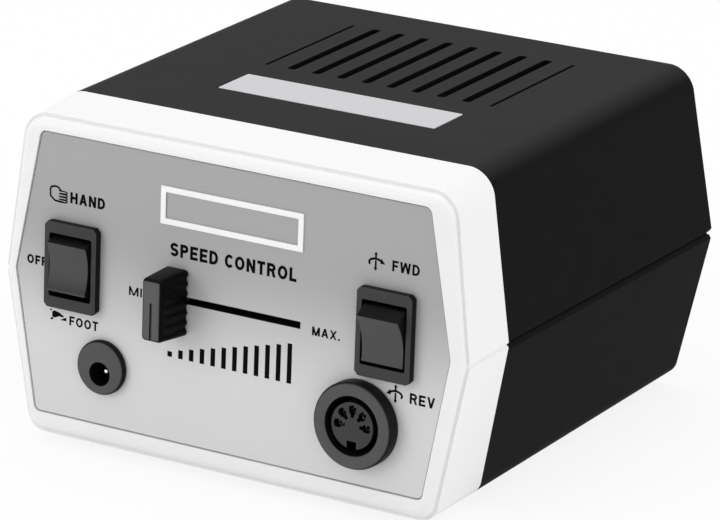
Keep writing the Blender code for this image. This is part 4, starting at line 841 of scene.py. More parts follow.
@dataclass(frozen=True)
class Casing:
    """The two black shells, their screws' bosses, the plate on the top and the feet."""

    form: CaseForm = CaseForm()
    groove_half: float = 1.3
    groove_depth: float = 1.15
    slot_half: float = 0.42
    slot_depth: float = 0.3
    seam_gap: float = 0.01
    vent_count: int = 8
    vent_pitch: float = 7.15
    vent_width: float = 2.4
    vent_x: float = 2.6
    vent_corner: float = 0.9
    vent_start: float = 42.5
    vent_length: float = 41.0
    line_width: float = 0.9
    line_depth: float = 0.6
    plate_half: float = 30.75
    plate_x: float = 1.75
    plate_start: float = 20.0
    plate_length: float = 13.5
    plate_corner: float = 0.3
    plate_seat: float = 0.6
    plate_thickness: float = 0.6
    glue: float = 0.05
    boss_places: tuple[Point, ...] = ((-49.0, 10.0), (49.0, 10.0), (-49.0, 88.0), (49.0, 88.0))
    boss_radius: float = 3.6
    boss_split: float = 30.0
    bore_radius: float = 1.8
    bore_length: float = 14.0
    head_radius: float = 3.1
    head_recess: float = 6.0
    foot_places: tuple[Point, ...] = ((-37.0, 14.0), (37.0, 14.0), (-37.0, 84.0), (37.0, 84.0))
    foot_hole: float = 2.5
    foot_profile: tuple[Point, ...] = (
        (0, 2.3), (3.6, 2.3), (3.9, 2.1), (5.0, 2.1), (5.4, 2.05), (5.7, 1.7), (6.0, 0.3), (2.2, 0.3),
        (2.2, -3.3), (1.9, -3.5), (0, -3.5))
    post_places: tuple[Point, ...] = ((16.5, 22.5), (47.5, 22.5), (16.5, 73.5), (47.5, 73.5))
    post_radius: float = 3.0
    post_top: float = 9.7

    def shell(self, name: str, upper: bool) -> Piece:
        """Makes one shell: a sleeve cut at the waist, chamfered along the seam and given its wall.

        Args:
            name: The piece's name.
            upper: Whether it is the upper shell.

        Returns:
            The shell, without its bosses and openings.
        """
        side = 1 if upper else -1
        form, shape = self.form, Shape(CASE)
        bm = shape.bm
        rear = shape.pull([form.lay(shape, 0.0)], form.depth)
        for vert in rear.verts:
            if abs(vert.co.z - WAIST) < MM:
                vert.co.x *= form.half_waist_rear / form.half_waist
        ends = [f for f in bm.faces if abs(f.calc_center_median().y - form.depth / 2) > 1]
        bmesh.ops.delete(bm, geom=ends, context="FACES_ONLY")
        self.slice(bm, WAIST - side * form.wall, side, True)
        shape.outward()
        top = max(bm.faces, key=lambda f: side * f.calc_center_median().z)
        if top.normal.z * side < 0:
            bmesh.ops.reverse_faces(bm, faces=bm.faces)
        bm.normal_update()
        bmesh.ops.solidify(bm, geom=bm.faces[:], thickness=form.wall)
        edge = WAIST + side * self.seam_gap / 2
        self.slice(bm, edge, side, True)
        bmesh.ops.holes_fill(bm, edges=[e for e in bm.edges if e.is_boundary])
        self.slice(bm, WAIST + side * self.groove_half, side, False)
        for vert in bm.verts:
            x, y, z = vert.co
            outside = form.half_waist + (form.half_waist_rear - form.half_waist) * y / form.depth
            if abs(z - edge) < MM and abs(x) > outside - form.wall / 2:
                vert.co.x -= math.copysign(self.groove_depth, x)
        return shape.outward().piece(name, Finish.SHELL, edge=0.35, steps=3)

    @staticmethod
    def slice(bm: bmesh.types.BMesh, z: float, side: int, clear: bool) -> None:
        """Cuts a shell's mesh across at one height.

        Args:
            bm: The mesh.
            z: The height.
            side: 1 where the shell lies above the cut and -1 where it lies below.
            clear: Whether what lies on the other side is taken away.
        """
        everything = bm.verts[:] + bm.edges[:] + bm.faces[:]
        bmesh.ops.bisect_plane(bm, geom=everything, plane_co=(0, 0, z), plane_no=(0, 0, side), clear_inner=clear)

    def open_seam(self, shell: Piece) -> None:
        """Cuts the dark gap at the bottom of the seam's groove, short of the wall's inside.

        Args:
            shell: The shell to cut.
        """
        near, far = -OVERRUN, self.form.depth + OVERRUN
        start, end = self.form.half_waist, self.form.half_waist_rear
        inner = self.groove_depth + self.slot_depth
        right = [(start - inner, near), (start + OVERRUN, near), (end + OVERRUN, far), (end - inner, far)]
        cuts = Shape(CASE)
        for corners in (right, [(-x, y) for x, y in reversed(right)]):
            cuts.flat_slab(corners, WAIST - self.slot_half, WAIST + self.slot_half)
        cuts.cut(shell)

    def plate_corners(self, margin: float = 0.0) -> list[Point]:
        """Gives the plate's outline from above, or one that lies a margin outside it."""
        middle = (self.plate_x, self.plate_start + self.plate_length / 2)
        return box_corners(middle, 2 * (self.plate_half + margin), self.plate_length + 2 * margin)

    def upper_shell(self) -> None:
        """Makes the upper shell with its vents, side lines and plate seat."""
        shell = self.shell("top_shell", True)
        top, bosses, cuts = self.form.height, Shape(CASE), Shape(CASE)
        for place in self.boss_places:
            bosses.post(place, self.boss_split + SEAT_GAP, top - self.form.wall / 2, self.boss_radius)
        bosses.join(shell)
        middle = self.vent_start + self.vent_length / 2
        for i in range(self.vent_count):
            x = self.vent_x + (i - (self.vent_count - 1) / 2) * self.vent_pitch
            vent = box_corners((x, middle), self.vent_width, self.vent_length)
            cuts.flat_slab(vent, top - self.form.wall - OVERRUN, top + OVERRUN, self.vent_corner, steps=5)
        for side in (-1, 1):
            x = self.vent_x + side * (self.vent_count + 1) / 2 * self.vent_pitch
            line = box_corners((x, middle), self.line_width, self.vent_length)
            cuts.flat_slab(line, top - self.line_depth, top + OVERRUN, self.line_width / 3, steps=4)
        cuts.flat_slab(self.plate_corners(SEAT_GAP), top - self.plate_seat, top + OVERRUN)
        start = self.boss_split - OVERRUN
        for place in self.boss_places:
            cuts.post(place, start, start + self.bore_length, self.bore_radius, steps=20)
        cuts.cut(shell)
        self.open_seam(shell)
        mount(shell, Body.CASE, Slot.SHELL, "upper_shell")

    def lower_shell(self) -> None:
        """Makes the lower shell with its bosses, posts and screw holes."""
        shell = self.shell("base_shell", False)
        wall, posts, cuts = self.form.wall, Shape(CASE), Shape(CASE)
        for place in self.boss_places:
            posts.post(place, wall / 2, self.boss_split, self.boss_radius)
            cuts.post(place, -OVERRUN, self.head_recess, self.head_radius)
        for place in self.post_places:
            posts.post(place, wall / 2, self.post_top, self.post_radius, steps=24)
        for place in self.foot_places:
            cuts.post(place, -OVERRUN, wall + OVERRUN, self.foot_hole, steps=24)
        posts.join(shell)
        cuts.cut(shell)
        self.open_seam(shell)
        mount(shell, Body.CASE, Slot.SHELL, "lower_shell")

    def feet(self) -> None:
        """Turns the four rubber feet."""
        for i, (x, y) in enumerate(self.foot_places, start=1):
            foot = Shape(CASE).turned(self.foot_profile, steps=48, turn=Matrix.Translation((x, y, 0)) @ LIE_DOWN)
            mount(foot.piece(f"foot_{i}", Finish.RUBBER), Body.CASE, Slot.RUBBER, f"rubber_foot_{i}")

    def name_plate(self) -> None:
        """Makes the bare plate on the top, with finely rounded edges."""
        low = self.form.height - self.plate_seat + self.glue
        plate = Shape(CASE).flat_slab(self.plate_corners(), low, low + self.plate_thickness, self.plate_corner, 4)
        mount(plate.piece("top_plate", Finish.PLATE, edge=0.12), Body.CASE, Slot.PLATE, "name_plate")

    def build(self) -> None:
        """Makes all pieces of the casing."""
        self.upper_shell()
        self.lower_shell()
        self.feet()
        self.name_plate()


# Front


@dataclass(frozen=True)
class FrontBezel:
    """The white bezel: a soft-folded ring, the web behind the panel and the tongue inside the shells."""

    form: CaseForm = CaseForm()
    lip: float = 0.6
    fold: float = 2.5
    fold_steps: int = 9
    web_front: float = 1.3
    web_back: float = 3.7
    tongue: float = 4.0
    tongue_wall: float = 1.6
    line_half: float = 0.5
    groove: tuple[Point, ...] = ((0.3, -0.22), (0.3, -0.12), (0.25, 0.1))
    top_fall: float = 1.4

    @staticmethod
    def lean(face: Face, back: float, kept: float = 1.0) -> None:
        """Leans a face back with the panel.

        Args:
            face: The face.
            back: How far it lies behind the panel's front plane.
            kept: How much of its height above the waist it keeps, from 0 to 1.
        """
        for vert in face.verts:
            rise = vert.co.z - WAIST
            rise *= kept if rise > 0 else 1
            vert.co.z = WAIST + rise
            vert.co.y = -PANEL_SETBACK + back / math.cos(RAKE) + rise * math.tan(RAKE)

    def block(self) -> Piece:
        """Makes the solid block, with a groove and a soft fold round its front.

        Returns:
            The bezel, still solid.
        """
        shape = Shape(CASE)
        front = shape.pull([self.form.lay(shape, -SEAT_GAP)], -PANEL_SETBACK)
        self.lean(front, self.fold - self.lip, 1 - self.top_fall / (self.form.height - WAIST))
        shape.outward()
        for width, lift in self.groove:
            shape.step_in(front, width, lift)
        done = (0.0, 0.0)
        for k in range(1, self.fold_steps + 1):
            turn = QUARTER * k / self.fold_steps
            goal = (self.fold * (1 - math.cos(turn)), self.fold * math.sin(turn))
            shape.step_in(front, goal[0] - done[0], goal[1] - done[1])
            done = goal
        return shape.piece("white_bezel", Finish.BEZEL, edge=0.3, steps=3)

    def hollow(self) -> Shape:
        """Gives the room behind the web, open to the case.

        Returns:
            The shape to cut away.
        """
        shape = Shape(CASE)
        front = shape.pull([self.form.lay(shape, 0.0, self.form.lining + self.tongue_wall)], -PANEL_SETBACK)
        self.lean(front, self.web_back)
        near = next(f for f in shape.bm.faces if f.calc_center_median().y == 0.0)
        bmesh.ops.translate(shape.bm, verts=near.verts, vec=(0, self.tongue + OVERRUN, 0))
        return shape.outward()

    def side_lines(self) -> Shape:
        """Gives the two blocks that cut a fine line into the bezel's sides, in line with the seam.

        Returns:
            The shape to cut away.
        """
        shape = Shape(CASE)
        size = Matrix.Diagonal((2 * self.line_half, 2 * PANEL_SETBACK, 2 * self.line_half, 1))
        for side in (-1, 1):
            middle = Matrix.Translation((side * self.form.half_waist, -PANEL_SETBACK / 2, WAIST))
            bmesh.ops.create_cube(shape.bm, size=1, matrix=middle @ Matrix.Rotation(QUARTER / 2, 4, "Y") @ size)
        return shape

    def build(self, panel: "ControlPanel") -> None:
        """Makes the bezel.

        Args:
            panel: Gives the recess and the cut-outs.
        """
        bezel = self.block()
        tongue = Shape(CASE)
        tongue.pull([self.form.lay(tongue, -self.tongue, self.form.lining)], 2 * self.tongue)
        tongue.outward().join(bezel)
        self.hollow().cut(bezel)
        recess = Shape(FRONT).slab(panel.corners(SEAT_GAP), -OVERRUN, self.web_front, panel.corner + SEAT_GAP)
        recess.cut(bezel)
        panel.cutouts().cut(bezel)
        self.side_lines().cut(bezel)
        mount(bezel, Body.CASE, Slot.BEZEL, "front_bezel")


@dataclass(frozen=True)
class Switch:
    """One rocker switch: its housing's flange and mouth, and its rocker."""

    name: str
    body: Body
    x: float
    lean: float
    z: float = 4.6
    flange: Point = (15.2, 21.7)
    flange_front: float = -2.2
    flange_edge: float = 0.22
    body_size: Point = (13.6, 19.2)
    body_start: float = 0.8
    body_corner: float = 0.4
    mouth: Point = (12.2, 15.8)
    mouth_corner: float = 0.5
    floor: float = 11.1
    depth: float = 13.5
    corner: float = 1.0
    slot: Point = (5.4, 1.4)
    slot_pitch: float = 6.2
    axis_depth: float = 1.0
    face_half: float = 6.0
    shoulder: Point = (1.2, 7.4)
    foot: Point = (-2.4, 6.4)
    lip_out: float = 5.0
    lip_edge: float = 0.28
    dish: float = 1.3
    dish_steps: int = 16
    side_gap: float = 0.4
    pin_radius: float = 1.0
    pin_reach: float = 0.4
    plunger_radius: float = 1.2
    plunger_ends: Point = (1.2, 5.2)

    def housing(self) -> None:
        """Makes the housing from its front: flange, body behind it, and the mouth sunk into it."""
        centre, front, shape = (self.x, self.z), self.flange_front, Shape(FRONT)
        shape.outline(box_corners(centre, *self.flange), front)
        shape.pull([shape.round_corners(shape.bm.verts, self.corner, 1)], -SEAT_GAP - front)
        shape.outward()
        rim = set(min(shape.bm.faces, key=lambda f: f.calc_center_median().y).edges)
        shape.soften(lambda e: e in rim, self.flange_edge, 3)
        housing = shape.piece(f"{self.name}_housing", Finish.SWITCH, edge=0.16)
        barrel = box_corners(centre, *self.body_size)
        Shape(FRONT).slab(barrel, front + self.body_start, self.depth, self.body_corner, steps=3).join(housing)
        mouth = box_corners(centre, *self.mouth)
        Shape(FRONT).slab(mouth, front - OVERRUN, self.floor, self.mouth_corner, steps=4).cut(housing)
        slots = Shape(FRONT)
        for step in (-1, 0, 1):
            slot = box_corners((self.x, self.z + step * self.slot_pitch), *self.slot)
            slots.slab(slot, self.floor - OVERRUN, self.depth + OVERRUN)
        slots.cut(housing)
        mount(housing, Body.CASE, Slot.SWITCH, f"{self.name}_switch_housing")

    def side_view(self) -> list[Point]:
        """Gives the rocker's outline from the side.

        Returns:
            Its corners, as (depth, height) about the rocker's axis.
        """
        shares = [2 * k / self.dish_steps - 1 for k in range(self.dish_steps + 1)]
        dish = [(-self.lip_out + self.dish * (1 - s * s), s * self.face_half) for s in shares]
        (shoulder_out, shoulder_half), (foot_out, foot_half) = self.shoulder, self.foot
        return dish + [
            (-shoulder_out, shoulder_half), (-foot_out, foot_half), (-foot_out, -foot_half),
            (-shoulder_out, -shoulder_half)]

    def rocker(self) -> None:
        """Makes the rocker from its side view, with soft lips, pins and a plunger."""
        place = FRONT @ Matrix.Translation((self.x, self.axis_depth, self.z)) @ Matrix.Rotation(self.lean, 4, "X")
        half = self.mouth[0] / 2 - self.side_gap
        shape = Shape(place)
        face = shape.bm.faces.new([shape.bm.verts.new((-half, y, z)) for y, z in self.side_view()])
        shape.pull([face], 2 * half, (1, 0, 0))
        shape.outward().soften(is_sharp, self.lip_edge, 4)
        rocker = shape.piece(f"{self.name}_rocker_cap", Finish.ROCKER)
        reach = self.mouth[0] / 2 + self.pin_reach
        near, far = self.plunger_ends
        Shape(place).bar((-reach, 0, 0), (reach, 0, 0), self.pin_radius, steps=24).join(rocker)
        Shape(place).bar((0, near, 0), (0, far, 0), self.plunger_radius, steps=24).join(rocker)
        mount(rocker, self.body, Slot.SWITCH, f"{self.name}_rocker")

    def build(self) -> None:
        """Makes the switch's visible pieces."""
        self.housing()
        self.rocker()


@dataclass(frozen=True)
class SpeedSlider:
    """The speed slider's knob."""

    rest_x: float = -14.5
    z: float = 2.0
    drop: float = 0.4
    base: Point = (6.7, 16.4)
    tip: Point = (5.6, 15.4)
    standoff: float = 0.6
    length: float = 10.6
    edge: float = 1.0
    line_width: float = 0.7
    line_top: float = 1.9
    line_depth: float = 0.5
    line_corner: float = 0.3
    rib_count: int = 6
    rib_pitch: float = 2.4
    rib_radius: float = 1.15
    rib_depth: float = 0.34
    rib_ends: Point = (1.0, 1.6)
    lever: Point = (4.0, 1.1)
    lever_reach: float = 7.0

    def build(self) -> None:
        """Makes the knob: a tapered block with soft edges, an index groove and scalloped sides."""
        mid_z = self.z - self.drop
        back, front = -self.standoff, -self.standoff - self.length
        shape = Shape(FRONT)
        tip = shape.pull([shape.outline(box_corners((self.rest_x, mid_z), *self.base), back)], -self.length)
        taper = (self.tip[0] / self.base[0], 1, self.tip[1] / self.base[1])
        about = Matrix.Translation((-self.rest_x, 0, -mid_z))
        bmesh.ops.scale(shape.bm, vec=taper, verts=tip.verts, space=about)
        shape.outward().soften(lambda e: any(abs(v.co.y - back) > MM for v in e.verts), self.edge, 6)
        knob = shape.piece("slider_knob", Finish.KNOB, edge=0.1)
        width, height = (size + 2 * SEAT_GAP for size in self.lever)
        socket = box_corners((self.rest_x, self.z), width, height)
        cuts = Shape(FRONT).slab(socket, -self.lever_reach - SEAT_GAP, back + OVERRUN)
        low, high = mid_z - self.tip[1] / 2 - OVERRUN, mid_z + self.line_top
        line = box_corners((self.rest_x, (low + high) / 2), self.line_width, high - low)
        cuts.slab(line, front - OVERRUN, front + self.line_depth, self.line_corner, steps=4)
        out = self.rib_radius - self.rib_depth
        for side in (-1, 1):
            for i in range(self.rib_count):
                z = mid_z + (i - (self.rib_count - 1) / 2) * self.rib_pitch
                start = (self.rest_x + side * (self.base[0] / 2 + out), back + self.rib_ends[0], z)
                end = (self.rest_x + side * (self.tip[0] / 2 + out), front + self.rib_ends[1], z)
                cuts.bar(start, end, self.rib_radius, steps=24)
        cuts.cut(knob)
        mount(knob, Body.SLIDER, Slot.KNOB, "speed_knob")


@dataclass(frozen=True)
class HandpieceSocket:
    """The round socket at the lower right: turned shell, keyed insert and contact sleeves."""

    centre: Point = (37.6, -18.4)
    flange_radius: float = 10.7
    face: float = -3.9
    barrel: float = 8.2
    bore: float = 7.25
    bore_floor: float = 10.4
    back_bore: float = 5.0
    depth: float = 12.0
    insert_radius: float = 5.8
    insert_recess: float = 0.4
    insert_foot: float = 10.1
    insert_collar: float = 1.6
    keyway: Point = (2.6, 2.0)
    keyway_reach: float = 7.0
    contact_count: int = 5
    contact_circle: float = 3.7
    contact_step: float = math.radians(45)
    hole_radius: float = 1.0
    slit: float = 0.9
    slit_reach: float = 1.7
    slit_nose: Point = (1.0, 1.4)
    slit_depth: float = 4.0
    sleeve_radii: Point = (0.42, 0.72)
    sleeve_tail: float = 4.0

    def places(self) -> list[tuple[Point, float]]:
        """Finds the contacts' places round the socket's middle.

        Returns:
            Each contact's place (x, z) and its direction from the middle, in radians.
        """
        (x, z), reach, middle = self.centre, self.contact_circle, (self.contact_count - 1) / 2
        turns = [QUARTER + (i - middle) * self.contact_step for i in range(self.contact_count)]
        return [((x + reach * math.cos(turn), z + reach * math.sin(turn)), turn) for turn in turns]

    def shell(self) -> None:
        """Turns the shell, from its bore over its flange to its barrel."""
        r, f, b = self.flange_radius, self.face, self.bore
        profile = [
            (b, self.bore_floor), (b, f + 0.3), (b + 0.1, f + 0.09), (b + 0.3, f), (r - 0.8, f),
            (r - 0.42, f + 0.1), (r - 0.15, f + 0.35), (r, f + 0.75), (r, -0.45), (r - 0.15, -SEAT_GAP),
            (self.barrel, -SEAT_GAP), (self.barrel, self.depth), (self.back_bore, self.depth),
            (self.back_bore, self.bore_floor)]
        shell = Shape(FRONT).turned(profile, self.centre, steps=96).piece("socket_shell", Finish.SOCKET)
        mount(shell, Body.CASE, Slot.SWITCH, "handpiece_socket_shell")

    def insert(self) -> None:
        """Turns the insert and cuts its keyway, and a hole and a slit for each contact."""
        r, f, foot = self.insert_radius, self.face, self.insert_foot
        top, collar, rim = f + self.insert_recess, foot - self.insert_collar, self.bore - SEAT_GAP
        profile = [
            (0, top), (r - 0.3, top), (r - 0.08, top + 0.08), (r, top + 0.3), (r, collar), (rim, collar),
            (rim, foot), (0, foot)]
        insert = Shape(FRONT).turned(profile, self.centre, steps=96).piece("socket_insert", Finish.SWITCH)
        key = box_corners((self.centre[0], self.centre[1] - r), self.keyway[0], 2 * self.keyway[1])
        Shape(FRONT).slab(key, f - OVERRUN, f + self.keyway_reach).cut(insert)
        reach, half, hole, (end, nose) = self.slit_reach, self.slit / 2, self.hole_radius, self.slit_nose
        outline = [
            (-reach, -half), (0, -half), (0, -hole), (end, -hole), (nose, 0), (end, hole), (0, hole), (0, half),
            (-reach, half)]
        holes, slits = Shape(FRONT), Shape(FRONT)
        for (x, z), angle in self.places():
            turn = Matrix.Translation((x, 0, z)) @ Matrix.Rotation(-angle, 4, "Y")
            holes.drill((x, z), f - OVERRUN, foot + OVERRUN, hole, steps=28)
            slits.slab(outline, f - OVERRUN, f + self.slit_depth, turn=turn)
        holes.cut(insert)
        slits.cut(insert)
        mount(insert, Body.CASE, Slot.PART, "handpiece_socket_insert")

    def sleeves(self) -> None:
        """Turns the contact sleeves."""
        f, tail, (inner, outer) = self.face, self.depth + self.sleeve_tail, self.sleeve_radii
        profile = [
            (inner, f + 1.9), (0.55, f + 1.6), (0.66, f + 1.6), (outer, f + 1.8), (outer, tail), (inner, tail)]
        # The sleeves' dark finish is painted shade for the socket's holes.
        for i, (place, _) in enumerate(self.places(), start=1):
            sleeve = Shape(FRONT).turned(profile, place, steps=28).piece(f"contact_sleeve_{i}", Finish.SHADED_CONTACT)
            mount(sleeve, Body.CASE, Slot.BRASS, f"socket_contact_{i}")

    def build(self) -> None:
        """Makes the socket's pieces."""
        self.shell()
        self.insert()
        self.sleeves()


@dataclass(frozen=True)
class FootJack:
    """The foot pedal's jack at the lower left."""

    centre: Point = (-35.2, -19.0)
    flange_radius: float = 6.8
    face: float = -1.9
    barrel: float = 5.6
    depth: float = 11.5
    hole_radius: float = 3.0
    hole_drop: float = 1.5
    floor: float = 9.3
    pin_radius: float = 0.95
    pin_recess: float = 2.4
    pin_tail: float = 4.0
    pin_steps: int = 8

    def build(self) -> None:
        """Makes the jack's body and its pin."""
        r, f, barrel = self.flange_radius, self.face, self.barrel
        profile = [
            (0, f), (r - 0.7, f), (r - 0.35, f + 0.09), (r - 0.1, f + 0.32), (r, f + 0.65), (r, -0.4),
            (r - 0.1, -SEAT_GAP), (barrel, -SEAT_GAP), (barrel, self.depth), (0, self.depth)]
        jack = Shape(FRONT).turned(profile, self.centre, steps=96).piece("jack_body", Finish.SOCKET, edge=0.12, steps=3)
        low = (self.centre[0], self.centre[1] - self.hole_drop)
        Shape(FRONT).drill(low, f - OVERRUN, self.floor, self.hole_radius, steps=64).cut(jack)
        Shape(FRONT).drill(low, 0, self.depth + OVERRUN, self.pin_radius + SEAT_GAP).cut(jack)
        mount(jack, Body.CASE, Slot.SWITCH, "foot_jack_body")
        tip, tail, p = f + self.pin_recess, self.depth + self.pin_tail, self.pin_radius
        turns = [QUARTER * k / self.pin_steps for k in range(1, self.pin_steps + 1)]
        dome = [(p * math.sin(turn), tip + p * (1 - math.cos(turn))) for turn in turns]
        shape = Shape(FRONT).turned([(0, tip), *dome, (p, tail), (0, tail)], low, steps=40)
        mount(shape.piece("jack_pin", Finish.BRIGHT), Body.CASE, Slot.BRASS, "foot_jack_pin")


class Icon(Enum):
    """The small signs beside the words."""

    HAND = "hand"
    FOOT = "foot"
    FORWARD = "forward"
    REVERSE = "reverse"


@dataclass(frozen=True)
class Word:
    """One printed word and the room that it fills on the panel."""

    name: str
    text: str
    left: float
    right: float
    z: float
    height: float
    weight: float


@dataclass(frozen=True)
class Lettering:
    """Plain block letters, drawn in a cell one unit high from legs, bars and hoops of one weight."""

    weight: float
    gap: float = 0.17
    space: float = 0.40
    arc_steps: int = 12

    def leg(self, foot: float, head: float, low: float = 0.0, high: float = 1.0) -> list[Point]:
        """Gives an upright or slanted stroke with level ends, from its left edge at foot and head."""
        return [(foot, low), (foot + self.weight, low), (head + self.weight, high), (head, high)]

    def bar(self, left: float, right: float, low: float) -> list[Point]:
        """Gives a level stroke from its lower edge."""
        return [(left, low), (right, low), (right, low + self.weight), (left, low + self.weight)]

    def hoop(self, middle: Point, half: Point, start: float, end: float) -> list[Point]:
        """Gives a stroke along part of an ellipse.

        Args:
            middle: The ellipse's middle.
            half: Its half width and half height, to the stroke's outside.
            start: The angle where the stroke starts, in degrees.
            end: The angle where it ends, anticlockwise.

        Returns:
            The stroke's outline.
        """
        turns = [math.radians(start + (end - start) * k / self.arc_steps) for k in range(self.arc_steps + 1)]
        outer, inner = (
            [(middle[0] + (half[0] - w) * math.cos(a), middle[1] + (half[1] - w) * math.sin(a)) for a in turns]
            for w in (0.0, self.weight))
        return outer + inner[::-1]

    def glyph(self, letter: str) -> tuple[float, list[list[Point]]]:
        """Draws one letter.

        Args:
            letter: A capital or a full stop.

        Returns:
            Its width and the outlines of its strokes.
        """
        w, leg, bar, hoop = self.weight, self.leg, self.bar, self.hoop
        top, mid, turn, stem = 1 - w, (1 - w) / 2, (1 + w) / 4, leg(0, 0)
        round_o = ((0.40, 0.5), (0.40, 0.5))
        glyphs: dict[str, tuple[float, list[list[Point]]]] = {
            "A": (0.78, [leg(0, 0.39 - w / 2), leg(0.78 - w, 0.39 - w / 2), bar(0.17, 0.61, 0.21)]),
            "C": (0.68, [hoop((0.38, 0.5), (0.38, 0.5), 42, 318)]),
            "D": (0.72, [stem, bar(0, 0.32, 0), bar(0, 0.32, top), hoop((0.31, 0.5), (0.41, 0.5), -90, 90)]),
            "E": (0.64, [stem, bar(0, 0.64, 0), bar(0, 0.58, mid), bar(0, 0.64, top)]),
            "F": (0.60, [stem, bar(0, 0.53, mid), bar(0, 0.60, top)]),
            "H": (0.72, [stem, leg(0.72 - w, 0.72 - w), bar(0, 0.72, mid)]),
            "I": (w, [stem]),
            "L": (0.58, [stem, bar(0, 0.58, 0)]),
            "M": (0.88, [stem, leg(0.44 - w / 2, 0), leg(0.44 - w / 2, 0.88 - w), leg(0.88 - w, 0.88 - w)]),
            "N": (0.72, [stem, leg(0.72 - w, 0), leg(0.72 - w, 0.72 - w)]),
            "O": (0.80, [hoop(*round_o, 0, 180), hoop(*round_o, 180, 360)]),
            "P": (0.66, [stem, bar(0, 0.36, mid), bar(0, 0.36, top), hoop((0.35, 1 - turn), (0.31, turn), -90, 90)]),
            "R": (0.72, [stem, bar(0, 0.38, mid), bar(0, 0.38, top), hoop((0.37, 1 - turn), (0.33, turn), -90, 90),
                         leg(0.72 - w, 0.34, 0, mid + w / 2)]),
            "S": (0.68, [hoop((0.34, 1 - turn), (0.34, turn), 18, 270), hoop((0.34, turn), (0.34, turn), -162, 90)]),
            "T": (0.64, [leg(0.32 - w / 2, 0.32 - w / 2), bar(0, 0.64, top)]),
            "V": (0.74, [leg(0.37 - w / 2, 0), leg(0.37 - w / 2, 0.74 - w)]),
            "W": (1.06, [leg(0.24 - w / 2, 0), leg(0.24 - w / 2, 0.53 - w / 2), leg(0.82 - w / 2, 0.53 - w / 2),
                         leg(0.82 - w / 2, 1.06 - w)]),
            "X": (0.76, [leg(0, 0.76 - w), leg(0.76 - w, 0)]),
            ".": (w, [bar(0, w, 0)]),
        }
        return glyphs[letter]

    def set_line(self, text: str) -> tuple[float, list[list[Point]]]:
        """Sets a line of text.

        Args:
            text: The words, in capitals.

        Returns:
            The line's width and the outlines of all its strokes.
        """
        pen, shapes = 0.0, []
        for letter in text:
            if letter == " ":
                pen += self.space
                continue
            width, strokes = self.glyph(letter)
            shapes += [[(pen + x, z) for x, z in stroke] for stroke in strokes]
            pen += width + self.gap
        return pen - self.gap, shapes


